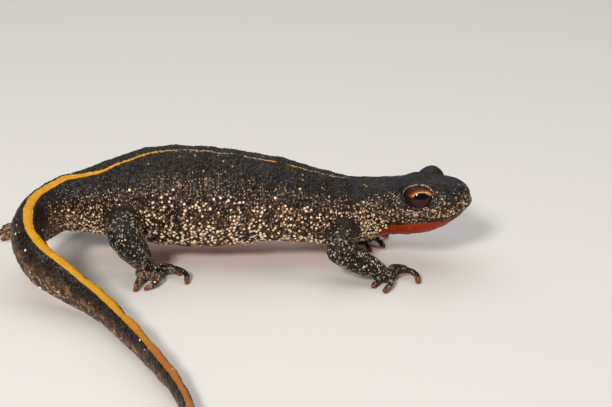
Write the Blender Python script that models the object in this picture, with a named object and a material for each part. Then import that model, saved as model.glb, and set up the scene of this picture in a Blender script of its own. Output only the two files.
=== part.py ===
"""Balkan crested newt, a still life-size model standing with its tail swept round beside it.

The animal faces +X with +Z up. All sizes below are millimetres and are scaled to metres
where a mesh is made. Body, tail, limbs and toes are lofts along smooth lines, and each is
its own closed solid that meets its neighbour face to face with a thin gap.
"""
import math
from typing import NamedTuple

import bmesh
import bpy
import numpy as np
from mathutils import Matrix, Vector

MM = 0.001
GAP = 0.3                          # space kept between neighbouring solids
ORIGIN = Vector((-15.2, -22.95, 0.0))   # plan centre of the whole animal, on the floor
COLLECTION = "balkan_crested_newt"
CUTTERS = "cutters"
FLOOR_DEPTH = 6.0                  # thickness of the slab that trims the soles

BODY_SIDES = 28
TAIL_SIDES = 20
LIMB_SIDES = 14
TOE_SIDES = 8
RING_STEP = 1.5                    # spacing of the body's rings
TAIL_STEP = 1.6

HEAD_BACK = Vector((14.9, -0.8, 9.9))
HEAD_YAW = -22.0                   # the head is turned to the animal's right
HEAD_PITCH = 11.0                  # and lifted a little
HEAD_ROLL = 1.5
HEAD_LENGTH = 14.6
SNOUT_ROUND = 4.0                  # length over which the snout rounds off
SNOUT_BLUNT = 2.6                  # 2 closes the snout like a circle, more is blunter
MOUTH_CORNER = 4.3                 # where the mouth line starts, from the head's back
MOUTH_FRONT = 14.45                # and where it crosses the front of the snout
EYE_PLACE = Vector((6.95, 4.1, 2.66))
EYE_RADIUS = 2.2
EYE_LOOK = Vector((0.2, 0.95, 0.25))
LID_CUT = 2.4                      # how far outside it the ball that opens the lids lies
LID_THICK = 0.45
LID_SINK = 0.45                    # how far the lids' mound lies inside the eye's centre
LID_SHAPE = (1.08, 1.0, 0.96)      # its length, height and depth against its radius
LID_OPENING = (2.4, 1.85, 1.9)
NOSTRIL_PLACE = Vector((13.65, 2.05, 1.95))
NOSTRIL_RADIUS = 0.3


class Station(NamedTuple):
    """A cross-section of body or tail: a point of the back line and the sizes under it."""

    crest: tuple
    half_width: float
    half_height: float
    lean: float = 0.0              # degrees that the back leans to the animal's right
    edge: float = 2.0              # 2 is an oval, less is a sharper upper and lower edge


BODY = (
    Station((17.2, -1.6, 15.0), 5.9, 4.8, 0.0, 2.2),
    Station((14.9, -0.8, 14.75), 6.0, 4.85, 0.0, 2.2),
    Station((9.6, 0.0, 14.3), 6.5, 5.5),
    Station((5.8, 0.0, 14.65), 7.1, 6.0),
    Station((1.0, 0.0, 16.0), 7.7, 6.5),
    Station((-5.0, 0.0, 17.8), 8.2, 7.2),
    Station((-11.8, 0.0, 19.15), 8.7, 8.2),
    Station((-18.9, 0.0, 20.0), 8.8, 8.85),
    Station((-26.0, -0.3, 19.95), 8.5, 8.65, 3.0),
    Station((-32.4, -1.8, 18.4), 7.0, 7.35, 9.0),
    Station((-35.9, -2.7, 17.2), 5.7, 6.3, 13.0, 1.95),
    Station((-39.2, -3.5, 16.5), 4.6, 5.85, 17.0, 1.85),
    Station((-42.3, -4.4, 15.9), 3.9, 5.5, 18.0, 1.75),
    Station((-45.2, -6.6, 14.9), 3.3, 5.1, 11.0, 1.7),
    Station((-46.4, -9.4, 14.0), 3.0, 4.85, 7.0, 1.65),
    Station((-46.3, -12.4, 13.0), 2.8, 4.6, 4.0, 1.65),
    Station((-45.2, -15.6, 11.7), 2.6, 4.3, 3.0, 1.6),
    Station((-43.2, -18.1, 10.2), 2.4, 3.95, 2.0, 1.6),
    Station((-40.2, -20.4, 8.8), 2.15, 3.55, 1.0, 1.6),
    Station((-36.4, -22.9, 7.0), 1.95, 3.2, 0.0, 1.6),
    Station((-32.4, -26.3, 5.7), 1.7, 2.8, 0.0, 1.6),
    Station((-28.4, -31.4, 4.9), 1.45, 2.5, 0.0, 1.6),
    Station((-24.5, -37.0, 4.4), 1.3, 2.28, 0.0, 1.6),
    Station((-20.9, -43.0, 3.9), 1.1, 2.03, 0.0, 1.6),
    Station((-17.5, -49.0, 3.4), 0.95, 1.77, 0.0, 1.6),
    Station((-15.3, -55.0, 2.9), 0.8, 1.5, 0.0, 1.6),
    Station((-14.6, -58.4, 2.2), 0.65, 1.12, 0.0, 1.7),
)

# Places along the body, counted in stations, where one solid ends and the next begins.
# The neck starts inside the head and is trimmed to the head's back.
NODE_ENDS = (
    ("neck", 0.0, 2.6),
    ("torso", 2.6, 7.9),
    ("pelvis", 7.9, 10.4),
    ("tail_base", 10.4, 13.0),
    ("tail_bend", 13.0, 16.2),
    ("tail_middle", 16.2, 19.5),
    ("tail_end", 19.5, 22.6),
    ("tail_tip", 22.6, 26.0),
)
TAIL_START = 10.4
ON_FLOOR = 16.2                    # from here on the tail's lower edge lies on the floor
BODY_REACH = {"arm": (1.2, 6.2), "leg": (6.8, 12.4)}   # the stretch that each limb grows from


class HeadRing(NamedTuple):
    """A cross-section of the head before the snout is rounded off, from the head's axis."""

    along: float
    half_width: float
    top: float
    bottom: float
    cheek: float                   # level of the widest line
    lip: float                     # level of the mouth line


HEAD = (
    HeadRing(0.0, 5.8, 4.75, -4.7, -0.9, -0.4),
    HeadRing(2.2, 6.15, 4.9, -4.8, -0.9, -0.4),
    HeadRing(4.6, 6.25, 4.95, -4.7, -0.9, -0.5),
    HeadRing(7.3, 5.95, 4.9, -4.45, -0.9, -0.75),
    HeadRing(9.6, 5.35, 4.65, -3.8, -0.8, -1.0),
    HeadRing(11.6, 4.65, 4.3, -2.75, -0.4, -1.15),
    HeadRing(13.2, 3.9, 4.0, -2.1, 0.1, -0.95),
    HeadRing(14.6, 3.3, 3.9, -1.6, 0.5, -0.6),
)
HEAD_ACROSS = 0.84                 # powers that square the head's sections a little
HEAD_UP = 0.92


class Limb(NamedTuple):
    """Joint centres and thicknesses of one leg, from the body outward."""

    root: tuple
    bend: tuple
    wrist: tuple
    radii: tuple                   # at root, mid upper, bend, mid lower, wrist


class Foot(NamedTuple):
    """A palm with its toes, each toe a few points from the palm to the tip."""

    palm: tuple
    palm_size: tuple
    turn: float                    # degrees of the palm's long axis from +X
    toes: tuple


ARM_RADII = (2.4, 2.3, 2.15, 2.1, 1.45)
LEG_RADII = (3.3, 3.1, 2.7, 2.45, 1.6)

LIMBS = {
    "right": {
        "arm": Limb((6.8, -5.2, 7.8), (5.6, -12.4, 6.1), (12.3, -11.8, 2.3), ARM_RADII),
        "leg": Limb((-32.0, -4.4, 9.6), (-30.3, -13.2, 8.9), (-28.0, -9.9, 3.0), LEG_RADII),
    },
    "left": {
        "arm": Limb((6.8, 5.2, 7.8), (3.6, 11.6, 5.6), (9.3, 6.6, 2.3), ARM_RADII),
        "leg": Limb((-32.0, 4.2, 9.6), (-41.0, 10.6, 6.4), (-50.3, 9.0, 2.5), LEG_RADII),
    },
}

FEET = {
    "hand_right": Foot((13.6, -11.0, 1.0), (2.1, 1.9, 1.1), 5.0, (
        ((14.0, -10.0, 1.2), (15.4, -8.3, 1.25), (17.4, -6.9, 0.35)),
        ((14.6, -11.0, 1.2), (17.4, -9.9, 1.35), (18.8, -10.5, 1.0), (19.2, -12.4, 0.35)),
        ((14.0, -12.0, 1.2), (14.4, -13.8, 1.2), (13.3, -15.9, 0.35)),
        ((12.9, -12.1, 1.1), (12.1, -13.1, 1.0), (11.4, -14.0, 0.35)),
    )),
    "hand_left": Foot((10.5, 5.2, 1.0), (2.1, 1.9, 1.1), -25.0, (
        ((10.8, 4.4, 1.2), (11.0, 2.6, 1.2), (11.7, 0.5, 0.35)),
        ((11.4, 4.6, 1.2), (12.9, 3.9, 1.3), (14.3, 2.6, 0.35)),
        ((11.5, 5.5, 1.2), (13.6, 6.0, 1.25), (15.2, 7.2, 0.35)),
        ((10.6, 6.2, 1.1), (11.6, 7.8, 1.0), (12.4, 9.4, 0.35)),
    )),
    "foot_right": Foot((-27.0, -9.9, 1.05), (2.3, 2.0, 1.15), 10.0, (
        ((-26.4, -8.9, 1.2), (-25.2, -7.5, 1.1), (-24.1, -6.4, 0.35)),
        ((-25.8, -9.2, 1.3), (-23.6, -8.4, 1.35), (-21.9, -9.2, 0.35)),
        ((-25.8, -9.6, 1.35), (-22.6, -10.0, 1.7), (-20.6, -10.9, 1.2), (-20.4, -12.6, 0.35)),
        ((-26.2, -10.6, 1.2), (-25.2, -12.2, 1.25), (-25.6, -13.9, 0.9), (-27.0, -14.9, 0.35)),
        ((-27.6, -10.9, 1.1), (-28.3, -12.9, 1.1), (-28.7, -15.4, 0.35)),
    )),
    "foot_left": Foot((-51.6, 8.9, 1.05), (2.3, 2.0, 1.15), 175.0, (
        ((-52.0, 8.0, 1.1), (-52.6, 6.3, 1.1), (-53.6, 4.8, 0.35)),
        ((-52.6, 8.2, 1.2), (-54.8, 6.7, 1.3), (-56.6, 5.6, 0.35)),
        ((-53.0, 8.8, 1.3), (-55.9, 8.2, 1.4), (-58.5, 8.0, 0.35)),
        ((-52.8, 9.6, 1.2), (-55.4, 10.3, 1.3), (-57.9, 11.3, 0.35)),
        ((-52.0, 9.9, 1.1), (-53.4, 11.6, 1.1), (-54.9, 13.0, 0.35)),
    )),
}
TOE_ROOT = 0.72
TOE_MIDDLE = 0.6
TOE_TIP = 0.5
LIMB_CAPS = 4                      # rings that round off a limb's end
TOE_CAPS = 2

COLOURS = {
    "back": ((0.035, 0.032, 0.030), 0.42),
    "limb": ((0.045, 0.038, 0.032), 0.45),
    "head": ((0.040, 0.034, 0.030), 0.40),
    "eye": ((0.30, 0.12, 0.02), 0.08),
}


class Track:
    """A smooth curve through values at given places, with slopes taken from the neighbours."""

    def __init__(self, places, values):
        self.places = np.asarray(places, float)
        self.values = np.asarray(values, float).reshape(len(self.places), -1)
        steps = np.diff(self.places)[:, None]
        slopes = np.diff(self.values, axis=0) / steps
        self.slopes = np.empty_like(self.values)
        self.slopes[0] = slopes[0]
        self.slopes[-1] = slopes[-1]
        weight = steps[1:] / (steps[:-1] + steps[1:])
        self.slopes[1:-1] = slopes[:-1] * weight + slopes[1:] * (1 - weight)

    def at(self, place):
        """The values at a place along the curve."""
        last = len(self.places) - 2
        i = min(max(int(np.searchsorted(self.places, place, "right")) - 1, 0), last)
        step = self.places[i + 1] - self.places[i]
        t = (place - self.places[i]) / step
        return (
            (2 * t**3 - 3 * t**2 + 1) * self.values[i]
            + (t**3 - 2 * t**2 + t) * step * self.slopes[i]
            + (3 * t**2 - 2 * t**3) * self.values[i + 1]
            + (t**3 - t**2) * step * self.slopes[i + 1]
        )

    def scalar(self, place):
        """The first value at a place, as a number."""
        return float(self.at(place)[0])

    def point(self, place):
        """The first three values at a place, as a vector."""
        return Vector(self.at(place)[:3])

    def heading(self, place, reach=0.02):
        """The unit direction of the curve at a place."""
        return (self.point(place + reach) - self.point(place - reach)).normalized()


def signed_power(value, power):
    """A number raised to a power, keeping its sign."""
    return math.copysign(abs(value) ** power, value)


def side_of(heading):
    """The level direction to the animal's left, for a line that runs towards the tail."""
    return heading.cross(Vector((0, 0, 1))).normalized()


def body_track():
    """Centre line, half width, half height, lean and edge of body and tail, by station."""
    crests = [Vector(station.crest) for station in BODY]
    rows = []
    for i, station in enumerate(BODY):
        before = crests[max(i - 1, 0)]
        after = crests[min(i + 1, len(crests) - 1)]
        left = side_of(after - before)
        lean = math.radians(station.lean)
        down = Vector((0, 0, -1)) * math.cos(lean) + left * math.sin(lean)
        centre = crests[i] + down * station.half_height
        rows.append((*centre, station.half_width, station.half_height, lean, station.edge))
    return Track(range(len(BODY)), rows)


BODY_TRACK = body_track()


def body_ring(place, grow=0.0, sides=BODY_SIDES):
    """The points of a cross-section of body or tail, perpendicular to its centre line."""
    values = BODY_TRACK.at(place)
    half_width, half_height, lean, edge = values[3:]
    heading = BODY_TRACK.heading(place)
    left = side_of(heading)
    up = left.cross(heading).normalized()
    across = left * math.cos(lean) + up * math.sin(lean)
    height = up * math.cos(lean) - left * math.sin(lean)
    points = []
    for k in range(sides):
        angle = 2 * math.pi * k / sides
        u = signed_power(math.cos(angle), 2 / edge) * (half_width + grow)
        w = signed_power(math.sin(angle), 2 / edge) * (half_height + grow)
        points.append(Vector(values[:3]) + across * u + height * w)
    return points


def place_mesh(name, points, faces):
    """An object of the given points, in millimetres, with its faces turned outward."""
    mesh = bpy.data.meshes.new(name)
    mesh.from_pydata([(point - ORIGIN) * MM for point in points], [], faces)
    solid = bmesh.new()
    solid.from_mesh(mesh)
    bmesh.ops.recalc_face_normals(solid, faces=solid.faces)
    solid.to_mesh(mesh)
    solid.free()
    thing = bpy.data.objects.new(name, mesh)
    bpy.data.collections[CUTTERS].objects.link(thing)
    return thing


def loft(name, rings, start=None, end=None):
    """A closed solid over rings of points, each end flat or drawn to a given point."""
    sides = len(rings[0])
    points = [point for ring in rings for point in ring]
    faces = []
    for r in range(len(rings) - 1):
        for k in range(sides):
            n = (k + 1) % sides
            faces.append((r * sides + k, r * sides + n, (r + 1) * sides + n, (r + 1) * sides + k))
    for pole, ring in ((start, 0), (end, len(rings) - 1)):
        around = [ring * sides + k for k in range(sides)]
        if pole is None:
            faces.append(tuple(around))
            continue
        points.append(pole)
        top = len(points) - 1
        faces.extend((around[k], around[(k + 1) % sides], top) for k in range(sides))
    return place_mesh(name, points, faces)


def rounded_tube(name, route, radii, sides, caps, grow=0.0):
    """A tube along a route of points, rounded at both ends, with a radius at each point."""
    points = [Vector(point) for point in route]
    places = [0.0]
    for before, after in zip(points, points[1:]):
        places.append(places[-1] + (after - before).length)
    line = Track(places, points)
    stops = np.linspace(0, places[-1], len(radii))
    thick = Track(stops, radii)
    length = places[-1]
    start_round = thick.scalar(0.0)
    end_round = thick.scalar(length)
    quarter = [math.pi / 2 * k / caps for k in range(1, caps + 1)]
    spots = [(-start_round * math.cos(a), math.sin(a)) for a in quarter]
    count = max(2, round(length / (1.1 * max(radii))))
    spots += [(length * k / count, 1.0) for k in range(1, count + 1)]
    spots += [(length + end_round * math.sin(a), math.cos(a)) for a in quarter[:-1]]
    first = line.heading(0.02)
    last = line.heading(length - 0.02)
    rings = []
    side = first.orthogonal().normalized()
    for spot, shrink in spots:
        inside = min(max(spot, 0.0), length)
        heading = line.heading(min(max(inside, 0.02), length - 0.02))
        centre = line.point(inside) + (first * min(spot, 0.0) + last * max(spot - length, 0.0))
        side = (side - heading * side.dot(heading)).normalized()
        other = heading.cross(side)
        radius = thick.scalar(inside) * shrink + grow
        rings.append([
            centre + (side * math.cos(a) + other * math.sin(a)) * radius
            for a in (2 * math.pi * k / sides for k in range(sides))
        ])
    start = points[0] - first * (start_round + grow)
    end = points[-1] + last * (end_round + grow)
    return loft(name, rings, start, end)


def ball(name, centre, size, turn=None, segments=16, rings=10):
    """An ellipsoid with the given half sizes, turned by a rotation matrix."""
    matrix = (turn or Matrix.Identity(3)).to_4x4()
    solid = bmesh.new()
    bmesh.ops.create_uvsphere(solid, u_segments=segments, v_segments=rings, radius=1.0)
    points = [Vector(centre) + matrix @ Vector(v.co * Vector(size)) for v in solid.verts]
    for vertex, point in zip(solid.verts, points):
        vertex.co = (point - ORIGIN) * MM
    mesh = bpy.data.meshes.new(name)
    solid.to_mesh(mesh)
    solid.free()
    thing = bpy.data.objects.new(name, mesh)
    bpy.data.collections[CUTTERS].objects.link(thing)
    return thing


def floor_slab():
    """A slab whose top is the floor, which trims whatever would sink below it."""
    solid = bmesh.new()
    bmesh.ops.create_cube(solid, size=1.0)
    span = Vector((160.0, 160.0, FLOOR_DEPTH))
    for vertex in solid.verts:
        vertex.co = Vector(a * b for a, b in zip(vertex.co, span)) * MM
        vertex.co.z -= FLOOR_DEPTH / 2 * MM
    mesh = bpy.data.meshes.new("floor_slab")
    solid.to_mesh(mesh)
    solid.free()
    thing = bpy.data.objects.new("floor_slab", mesh)
    bpy.data.collections[CUTTERS].objects.link(thing)
    return thing


def combine(thing, others, operation, solver="EXACT"):
    """Join or cut an object by others in one Boolean, and remove the others."""
    group = bpy.data.collections.new("operands")
    for other in others:
        group.objects.link(other)
    step = thing.modifiers.new("combine", "BOOLEAN")
    step.operation = operation
    step.operand_type = "COLLECTION"
    step.collection = group
    step.solver = solver
    bpy.context.view_layer.update()
    result = bpy.data.meshes.new_from_object(thing.evaluated_get(bpy.context.evaluated_depsgraph_get()))
    thing.modifiers.clear()
    thing.data = result
    for other in others:
        bpy.data.objects.remove(other, do_unlink=True)
    bpy.data.collections.remove(group)
    keep_largest(thing)
    return thing


def keep_largest(thing):
    """Drop every closed surface of an object but its largest."""
    solid = bmesh.new()
    solid.from_mesh(thing.data)
    bmesh.ops.dissolve_degenerate(solid, dist=1e-7, edges=solid.edges)
    left = set(solid.verts)
    islands = []
    while left:
        stack = [left.pop()]
        island = []
        while stack:
            vertex = stack.pop()
            island.append(vertex)
            for edge in vertex.link_edges:
                other = edge.other_vert(vertex)
                if other in left:
                    left.remove(other)
                    stack.append(other)
        islands.append(island)
    islands.sort(key=spread)
    loose = [vertex for island in islands[:-1] for vertex in island]
    bmesh.ops.delete(solid, geom=loose, context="VERTS")
    solid.to_mesh(thing.data)
    solid.free()


def spread(island):
    """The diagonal of the box round a group of vertices."""
    low = Vector(min(v.co[i] for v in island) for i in range(3))
    high = Vector(max(v.co[i] for v in island) for i in range(3))
    return (high - low).length


def head_matrix():
    """The rotation that turns and lifts the head."""
    yaw = Matrix.Rotation(math.radians(HEAD_YAW), 3, "Z")
    pitch = Matrix.Rotation(math.radians(-HEAD_PITCH), 3, "Y")
    roll = Matrix.Rotation(math.radians(HEAD_ROLL), 3, "X")
    return yaw @ pitch @ roll


HEAD_TURN = head_matrix()
HEAD_TRACK = Track([ring.along for ring in HEAD], [ring[1:] for ring in HEAD])


def in_head(point):
    """A point given from the head's back along its axis, in the animal's frame."""
    return HEAD_BACK + HEAD_TURN @ Vector(point)


def mirrored(point, side):
    """A point of the head's left half, or its twin on the right."""
    return Vector((point[0], point[1] * side, point[2]))


def snout_factor(along):
    """How far the snout has closed at a distance from the head's back."""
    past = max(0.0, along - (HEAD_LENGTH - SNOUT_ROUND)) / SNOUT_ROUND
    return max(0.0, 1.0 - past**SNOUT_BLUNT) ** (1 / SNOUT_BLUNT)


def head_ring(along, sides=BODY_SIDES):
    """A cross-section of the head, widest at the level of the cheeks."""
    half_width, top, bottom, cheek, _ = HEAD_TRACK.at(along)
    close = snout_factor(along)
    points = []
    for k in range(sides):
        angle = 2 * math.pi * k / sides
        u = signed_power(math.cos(angle), HEAD_ACROSS) * half_width * close
        rise = top - cheek if math.sin(angle) > 0 else cheek - bottom
        w = signed_power(math.sin(angle), HEAD_UP) * rise * close
        points.append(in_head((along, u, cheek + w)))
    return points


def lip_point(along):
    """Distance from the middle and level of the mouth line at a place along the head."""
    half_width, top, bottom, cheek, lip = HEAD_TRACK.at(along)
    close = snout_factor(along)
    rise = top - cheek if lip > cheek else cheek - bottom
    part = min(1.0, abs(lip - cheek) / max(rise * close, 0.01))
    return half_width * close * (1 - part ** (2 / HEAD_UP)) ** (HEAD_ACROSS / 2), lip


def head_stops():
    """Where the head's rings lie, closer together at the snout."""
    straight = HEAD_LENGTH - SNOUT_ROUND
    stops = [straight * k / 9 for k in range(10)]
    curved = [math.sin(math.pi / 2 * k / 8) for k in range(1, 8)]
    return stops + [straight + SNOUT_ROUND * c for c in curved]


def mouth_groove():
    """A thin wedge along the lips, from one corner of the mouth round to the other."""
    deep, wide = 0.75, 0.8
    thick, thin = 0.2, 0.04
    stops = [MOUTH_CORNER] + [s for s in head_stops() if MOUTH_CORNER < s < MOUTH_FRONT]
    right = [(s, -lip_point(s)[0], lip_point(s)[1]) for s in stops]
    left = [(s, -across, lip) for s, across, lip in reversed(right)]
    line = right + left
    rings = []
    for i, (along, across, lip) in enumerate(line):
        before = line[max(i - 1, 0)]
        after = line[min(i + 1, len(line) - 1)]
        heading = Vector((after[0] - before[0], after[1] - before[1], 0)).normalized()
        outward = Vector((heading.y, -heading.x, 0))
        spot = Vector((along, across, lip))
        ends = min(i, len(line) - 1 - i)
        open_up = min(1.0, 0.35 + 0.3 * ends)
        rings.append([
            in_head(spot + outward * wide + Vector((0, 0, thick))),
            in_head(spot + outward * wide - Vector((0, 0, thick))),
            in_head(spot - outward * deep * open_up - Vector((0, 0, thin))),
            in_head(spot - outward * deep * open_up + Vector((0, 0, thin))),
        ])
    return loft("mouth_groove", rings)


def look_matrix(side):
    """The rotation whose third axis looks out of one eye."""
    out = mirrored(EYE_LOOK, side).normalized()
    forward = Vector((1, 0, 0))
    forward = (forward - out * forward.dot(out)).normalized()
    up = out.cross(forward)
    return HEAD_TURN @ Matrix((forward, up, out)).transposed()


def build_head():
    """The head with its lids, open eye sockets, nostrils and the line of the mouth."""
    rings = [head_ring(stop) for stop in head_stops()]
    tip = in_head((HEAD_LENGTH, 0.0, HEAD[-1].cheek))
    head = loft("head", rings, None, tip)
    lid = EYE_RADIUS + GAP + LID_THICK
    mounds = []
    cuts = [mouth_groove()]
    for side in (1, -1):
        turn = look_matrix(side)
        eye = mirrored(EYE_PLACE, side)
        look = mirrored(EYE_LOOK, side).normalized()
        mound = [lid * part for part in LID_SHAPE]
        mounds.append(ball("lid", in_head(eye - look * LID_SINK), mound, turn, 20, 12))
        socket = EYE_RADIUS + GAP
        cuts.append(ball("socket", in_head(eye), (socket,) * 3, turn, 16, 12))
        opening = in_head(eye + look * LID_CUT)
        cuts.append(ball("lid_opening", opening, LID_OPENING, turn, 20, 12))
        pit = mirrored(NOSTRIL_PLACE, side)
        deep = NOSTRIL_RADIUS * 1.8
        cuts.append(ball("nostril", in_head(pit), (NOSTRIL_RADIUS, deep, deep), None, 10, 8))
    combine(head, mounds, "UNION")
    return combine(head, cuts, "DIFFERENCE")


def build_eye(name, side):
    """One eyeball, flattened a little where the lens lies under the cornea."""
    size = (EYE_RADIUS, EYE_RADIUS, EYE_RADIUS * 0.98)
    return ball(name, in_head(mirrored(EYE_PLACE, side)), size, look_matrix(side), 16, 12)


def body_solid(name, start, end, grow=0.0, open_tip=False):
    """A length of body or tail between two places along its stations."""
    begin = BODY_TRACK.point(start)
    finish = BODY_TRACK.point(end)
    on_tail = start >= TAIL_START
    step = TAIL_STEP if on_tail else RING_STEP
    reach = sum(
        (BODY_TRACK.point(a + 0.1) - BODY_TRACK.point(a)).length
        for a in np.arange(start, end - 0.05, 0.1)
    )
    reach = max(reach, (finish - begin).length)
    sides = TAIL_SIDES if on_tail else BODY_SIDES
    half = GAP / 2 / reach * (end - start)
    first = start + (half if grow == 0.0 else 0.0)
    last = end - (half if grow == 0.0 and not open_tip else 0.0)
    count = max(3, round(reach / step))
    rings = [body_ring(first + (last - first) * k / count, grow, sides) for k in range(count + 1)]
    if not open_tip:
        return loft(name, rings)
    heading = BODY_TRACK.heading(last - 0.02)
    centre = BODY_TRACK.point(last)
    caps = []
    for k in range(1, 4):
        angle = math.pi / 2 * k / 4
        ahead = heading * math.sin(angle) * 1.3
        caps.append([centre + ahead + (p - centre) * math.cos(angle) for p in rings[-1]])
    return loft(name, rings + caps, None, centre + heading * 1.3)


def limb_parts(limb, grow=0.0):
    """The upper and the lower length of a leg, rounded at both ends."""
    root, bend, wrist = (Vector(point) for point in (limb.root, limb.bend, limb.wrist))
    radii = limb.radii
    upper = rounded_tube("upper", (root, (root + bend) / 2, bend), radii[:3], LIMB_SIDES, LIMB_CAPS, grow)
    lower_start = bend + (wrist - bend) * 0.12
    middle = (bend + wrist) / 2
    lower = rounded_tube("lower", (lower_start, middle, wrist), radii[2:], LIMB_SIDES, LIMB_CAPS, grow)
    return upper, lower


def build_foot(name, foot, limb):
    """A palm with a heel under the ankle and its toes, flat where it stands."""
    turn = Matrix.Rotation(math.radians(foot.turn), 3, "Z")
    palm = ball(name, foot.palm, foot.palm_size, turn, 14, 8)
    wrist = Vector(limb.wrist)
    heel = (wrist + Vector(foot.palm)) / 2
    radius = limb.radii[4]
    pieces = [ball("heel", heel, (radius * 1.05, radius * 1.05, radius), turn, 12, 8)]
    for toe in foot.toes:
        pieces.append(rounded_tube("toe", toe, (TOE_ROOT, TOE_MIDDLE, TOE_TIP), TOE_SIDES, TOE_CAPS))
    combine(palm, pieces, "UNION")
    return palm


def finish(thing, name, colour):
    """Name a solid, give it its own material and smooth shading, and keep it."""
    thing.name = name
    thing.data.name = name
    material = bpy.data.materials.new(name)
    material.use_nodes = True
    shader = material.node_tree.nodes["Principled BSDF"]
    tone, roughness = COLOURS[colour]
    shader.inputs["Base Color"].default_value = (*tone, 1.0)
    shader.inputs["Roughness"].default_value = roughness
    shader.inputs["Metallic"].default_value = 0.0
    thing.data.materials.clear()
    thing.data.materials.append(material)
    thing.data.shade_smooth()
    thing.data.set_sharp_from_angle(angle=math.radians(40))
    bpy.data.collections[CUTTERS].objects.unlink(thing)
    bpy.data.collections[COLLECTION].objects.link(thing)


def head_clearance():
    """A block over the whole head whose back face the neck stops at."""
    block = []
    for along in (-GAP, HEAD_LENGTH):
        block.append([in_head((along, y, z)) for y, z in ((12, 12), (-12, 12), (-12, -12), (12, -12))])
    return loft("head_clearance", block)


def build_body():
    """Neck, torso, pelvis and the lengths of the tail."""
    for name, start, end in NODE_ENDS:
        tip = end >= len(BODY) - 1
        solid = body_solid(name, start, end, 0.0, tip)
        if start == 0.0:
            combine(solid, [head_clearance()], "DIFFERENCE")
        if start >= ON_FLOOR:
            combine(solid, [floor_slab()], "DIFFERENCE")
        finish(solid, name, "back")


def build_limbs():
    """Both arms and both legs, each in three solids from the body to the toes."""
    names = {"arm": ("upper_arm", "forearm", "hand"), "leg": ("thigh", "shank", "foot")}
    for side, pair in LIMBS.items():
        for kind, limb in pair.items():
            upper_name, lower_name, foot_name = (f"{name}_{side}" for name in names[kind])
            upper, lower = limb_parts(limb)
            grown_upper, grown_lower = limb_parts(limb, GAP)
            body = body_solid("body_clearance", *BODY_REACH[kind], GAP)
            combine(upper, [body], "DIFFERENCE")
            combine(lower, [grown_upper], "DIFFERENCE")
            foot = build_foot(foot_name, FEET[foot_name], limb)
            combine(foot, [grown_lower, floor_slab()], "DIFFERENCE")
            finish(upper, upper_name, "limb")
            finish(lower, lower_name, "limb")
            finish(foot, foot_name, "limb")


def main():
    """Clear the scene and build every solid of the animal."""
    for thing in list(bpy.data.objects):
        bpy.data.objects.remove(thing, do_unlink=True)
    for name in (COLLECTION, CUTTERS):
        bpy.context.scene.collection.children.link(bpy.data.collections.new(name))
    finish(build_head(), "head", "head")
    finish(build_eye("eye_left", 1), "eye_left", "eye")
    finish(build_eye("eye_right", -1), "eye_right", "eye")
    build_body()
    build_limbs()


main()
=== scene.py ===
"""Looks of a Balkan crested newt, a still life-size model.

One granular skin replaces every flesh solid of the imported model: lofts along the same measured
lines are joined, refined and sculpted with lids, lips, folds, granules and warts, and one
procedural material gives it its back stripe, belly, speckles and wet gloss. The eyes are
separate. Shapes are worked out in millimetres and become metres where a mesh is made.
"""

import logging
import math
from collections.abc import Sequence
from dataclasses import dataclass, field
from enum import Enum
from typing import NamedTuple

import bmesh
import bpy
import numpy as np
from mathutils import Matrix, Vector
from mathutils.kdtree import KDTree

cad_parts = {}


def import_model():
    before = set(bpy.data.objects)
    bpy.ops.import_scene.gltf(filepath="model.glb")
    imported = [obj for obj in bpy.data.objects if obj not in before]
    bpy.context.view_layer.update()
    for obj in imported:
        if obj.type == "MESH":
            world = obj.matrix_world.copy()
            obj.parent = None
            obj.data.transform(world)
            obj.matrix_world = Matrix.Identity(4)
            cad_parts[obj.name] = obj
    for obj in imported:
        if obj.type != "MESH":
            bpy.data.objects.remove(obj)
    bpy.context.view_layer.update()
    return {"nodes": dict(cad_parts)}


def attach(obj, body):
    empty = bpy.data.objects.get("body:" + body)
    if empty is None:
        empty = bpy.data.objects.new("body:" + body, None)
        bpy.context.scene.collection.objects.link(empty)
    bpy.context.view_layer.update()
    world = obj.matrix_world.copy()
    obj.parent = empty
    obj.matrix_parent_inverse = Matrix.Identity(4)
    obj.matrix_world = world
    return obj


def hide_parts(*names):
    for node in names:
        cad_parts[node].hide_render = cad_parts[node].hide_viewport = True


log = logging.getLogger("newt")
Array = np.ndarray

MM = 0.001
ORIGIN = np.array((-15.2, -22.95, 0.0))  # plan centre of the animal, on the floor
UP = np.array((0.0, 0.0, 1.0))
PHOTO_WIDTH = 612
CELL_KEYS = (73856093, 19349663, 83492791)  # primes that tell the cells of a grid apart
CLOSEST = 0.72  # least distance of scattered points, in spacings
POLE_GAP = 0.03  # radians left open round the poles of a ball
TUBE_STEP = 0.35  # millimetres between the rings of a tube


def ease(low: float, high: float, values: Array) -> Array:
    """Rise smoothly from 0 at one value to 1 at another.

    Args:
        low: The value that gives 0.
        high: The value that gives 1, below low for a fall.
        values: The numbers to read.

    Returns:
        Numbers from 0 to 1.
    """
    part = np.clip((values - low) / (high - low), 0.0, 1.0)
    return part * part * (3.0 - 2.0 * part)


def bell(values: Array) -> Array:
    """Fall off softly on both sides of 0, from 1."""
    return np.exp(-(values**2))


def unit(vectors: Array) -> Array:
    """Scale vectors to a length of 1."""
    return vectors / np.linalg.norm(vectors, axis=-1, keepdims=True)


def signed_power(values: Array, power: float) -> Array:
    """Raise numbers to a power and keep their signs."""
    return np.sign(values) * np.abs(values) ** power


def dots(left: Array, right: Array) -> Array:
    """Multiply two lists of vectors, pair by pair, into plain numbers."""
    return np.einsum("ij,ij->i", left, right)


def full_turn(sides: int) -> Array:
    """Spread angles evenly over a full turn."""
    return np.linspace(0, 2 * math.pi, sides, endpoint=False)


def turned(degrees: float, axis: str) -> Matrix:
    """Make the matrix of a turn round an axis."""
    return Matrix.Rotation(math.radians(degrees), 3, axis)


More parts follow.
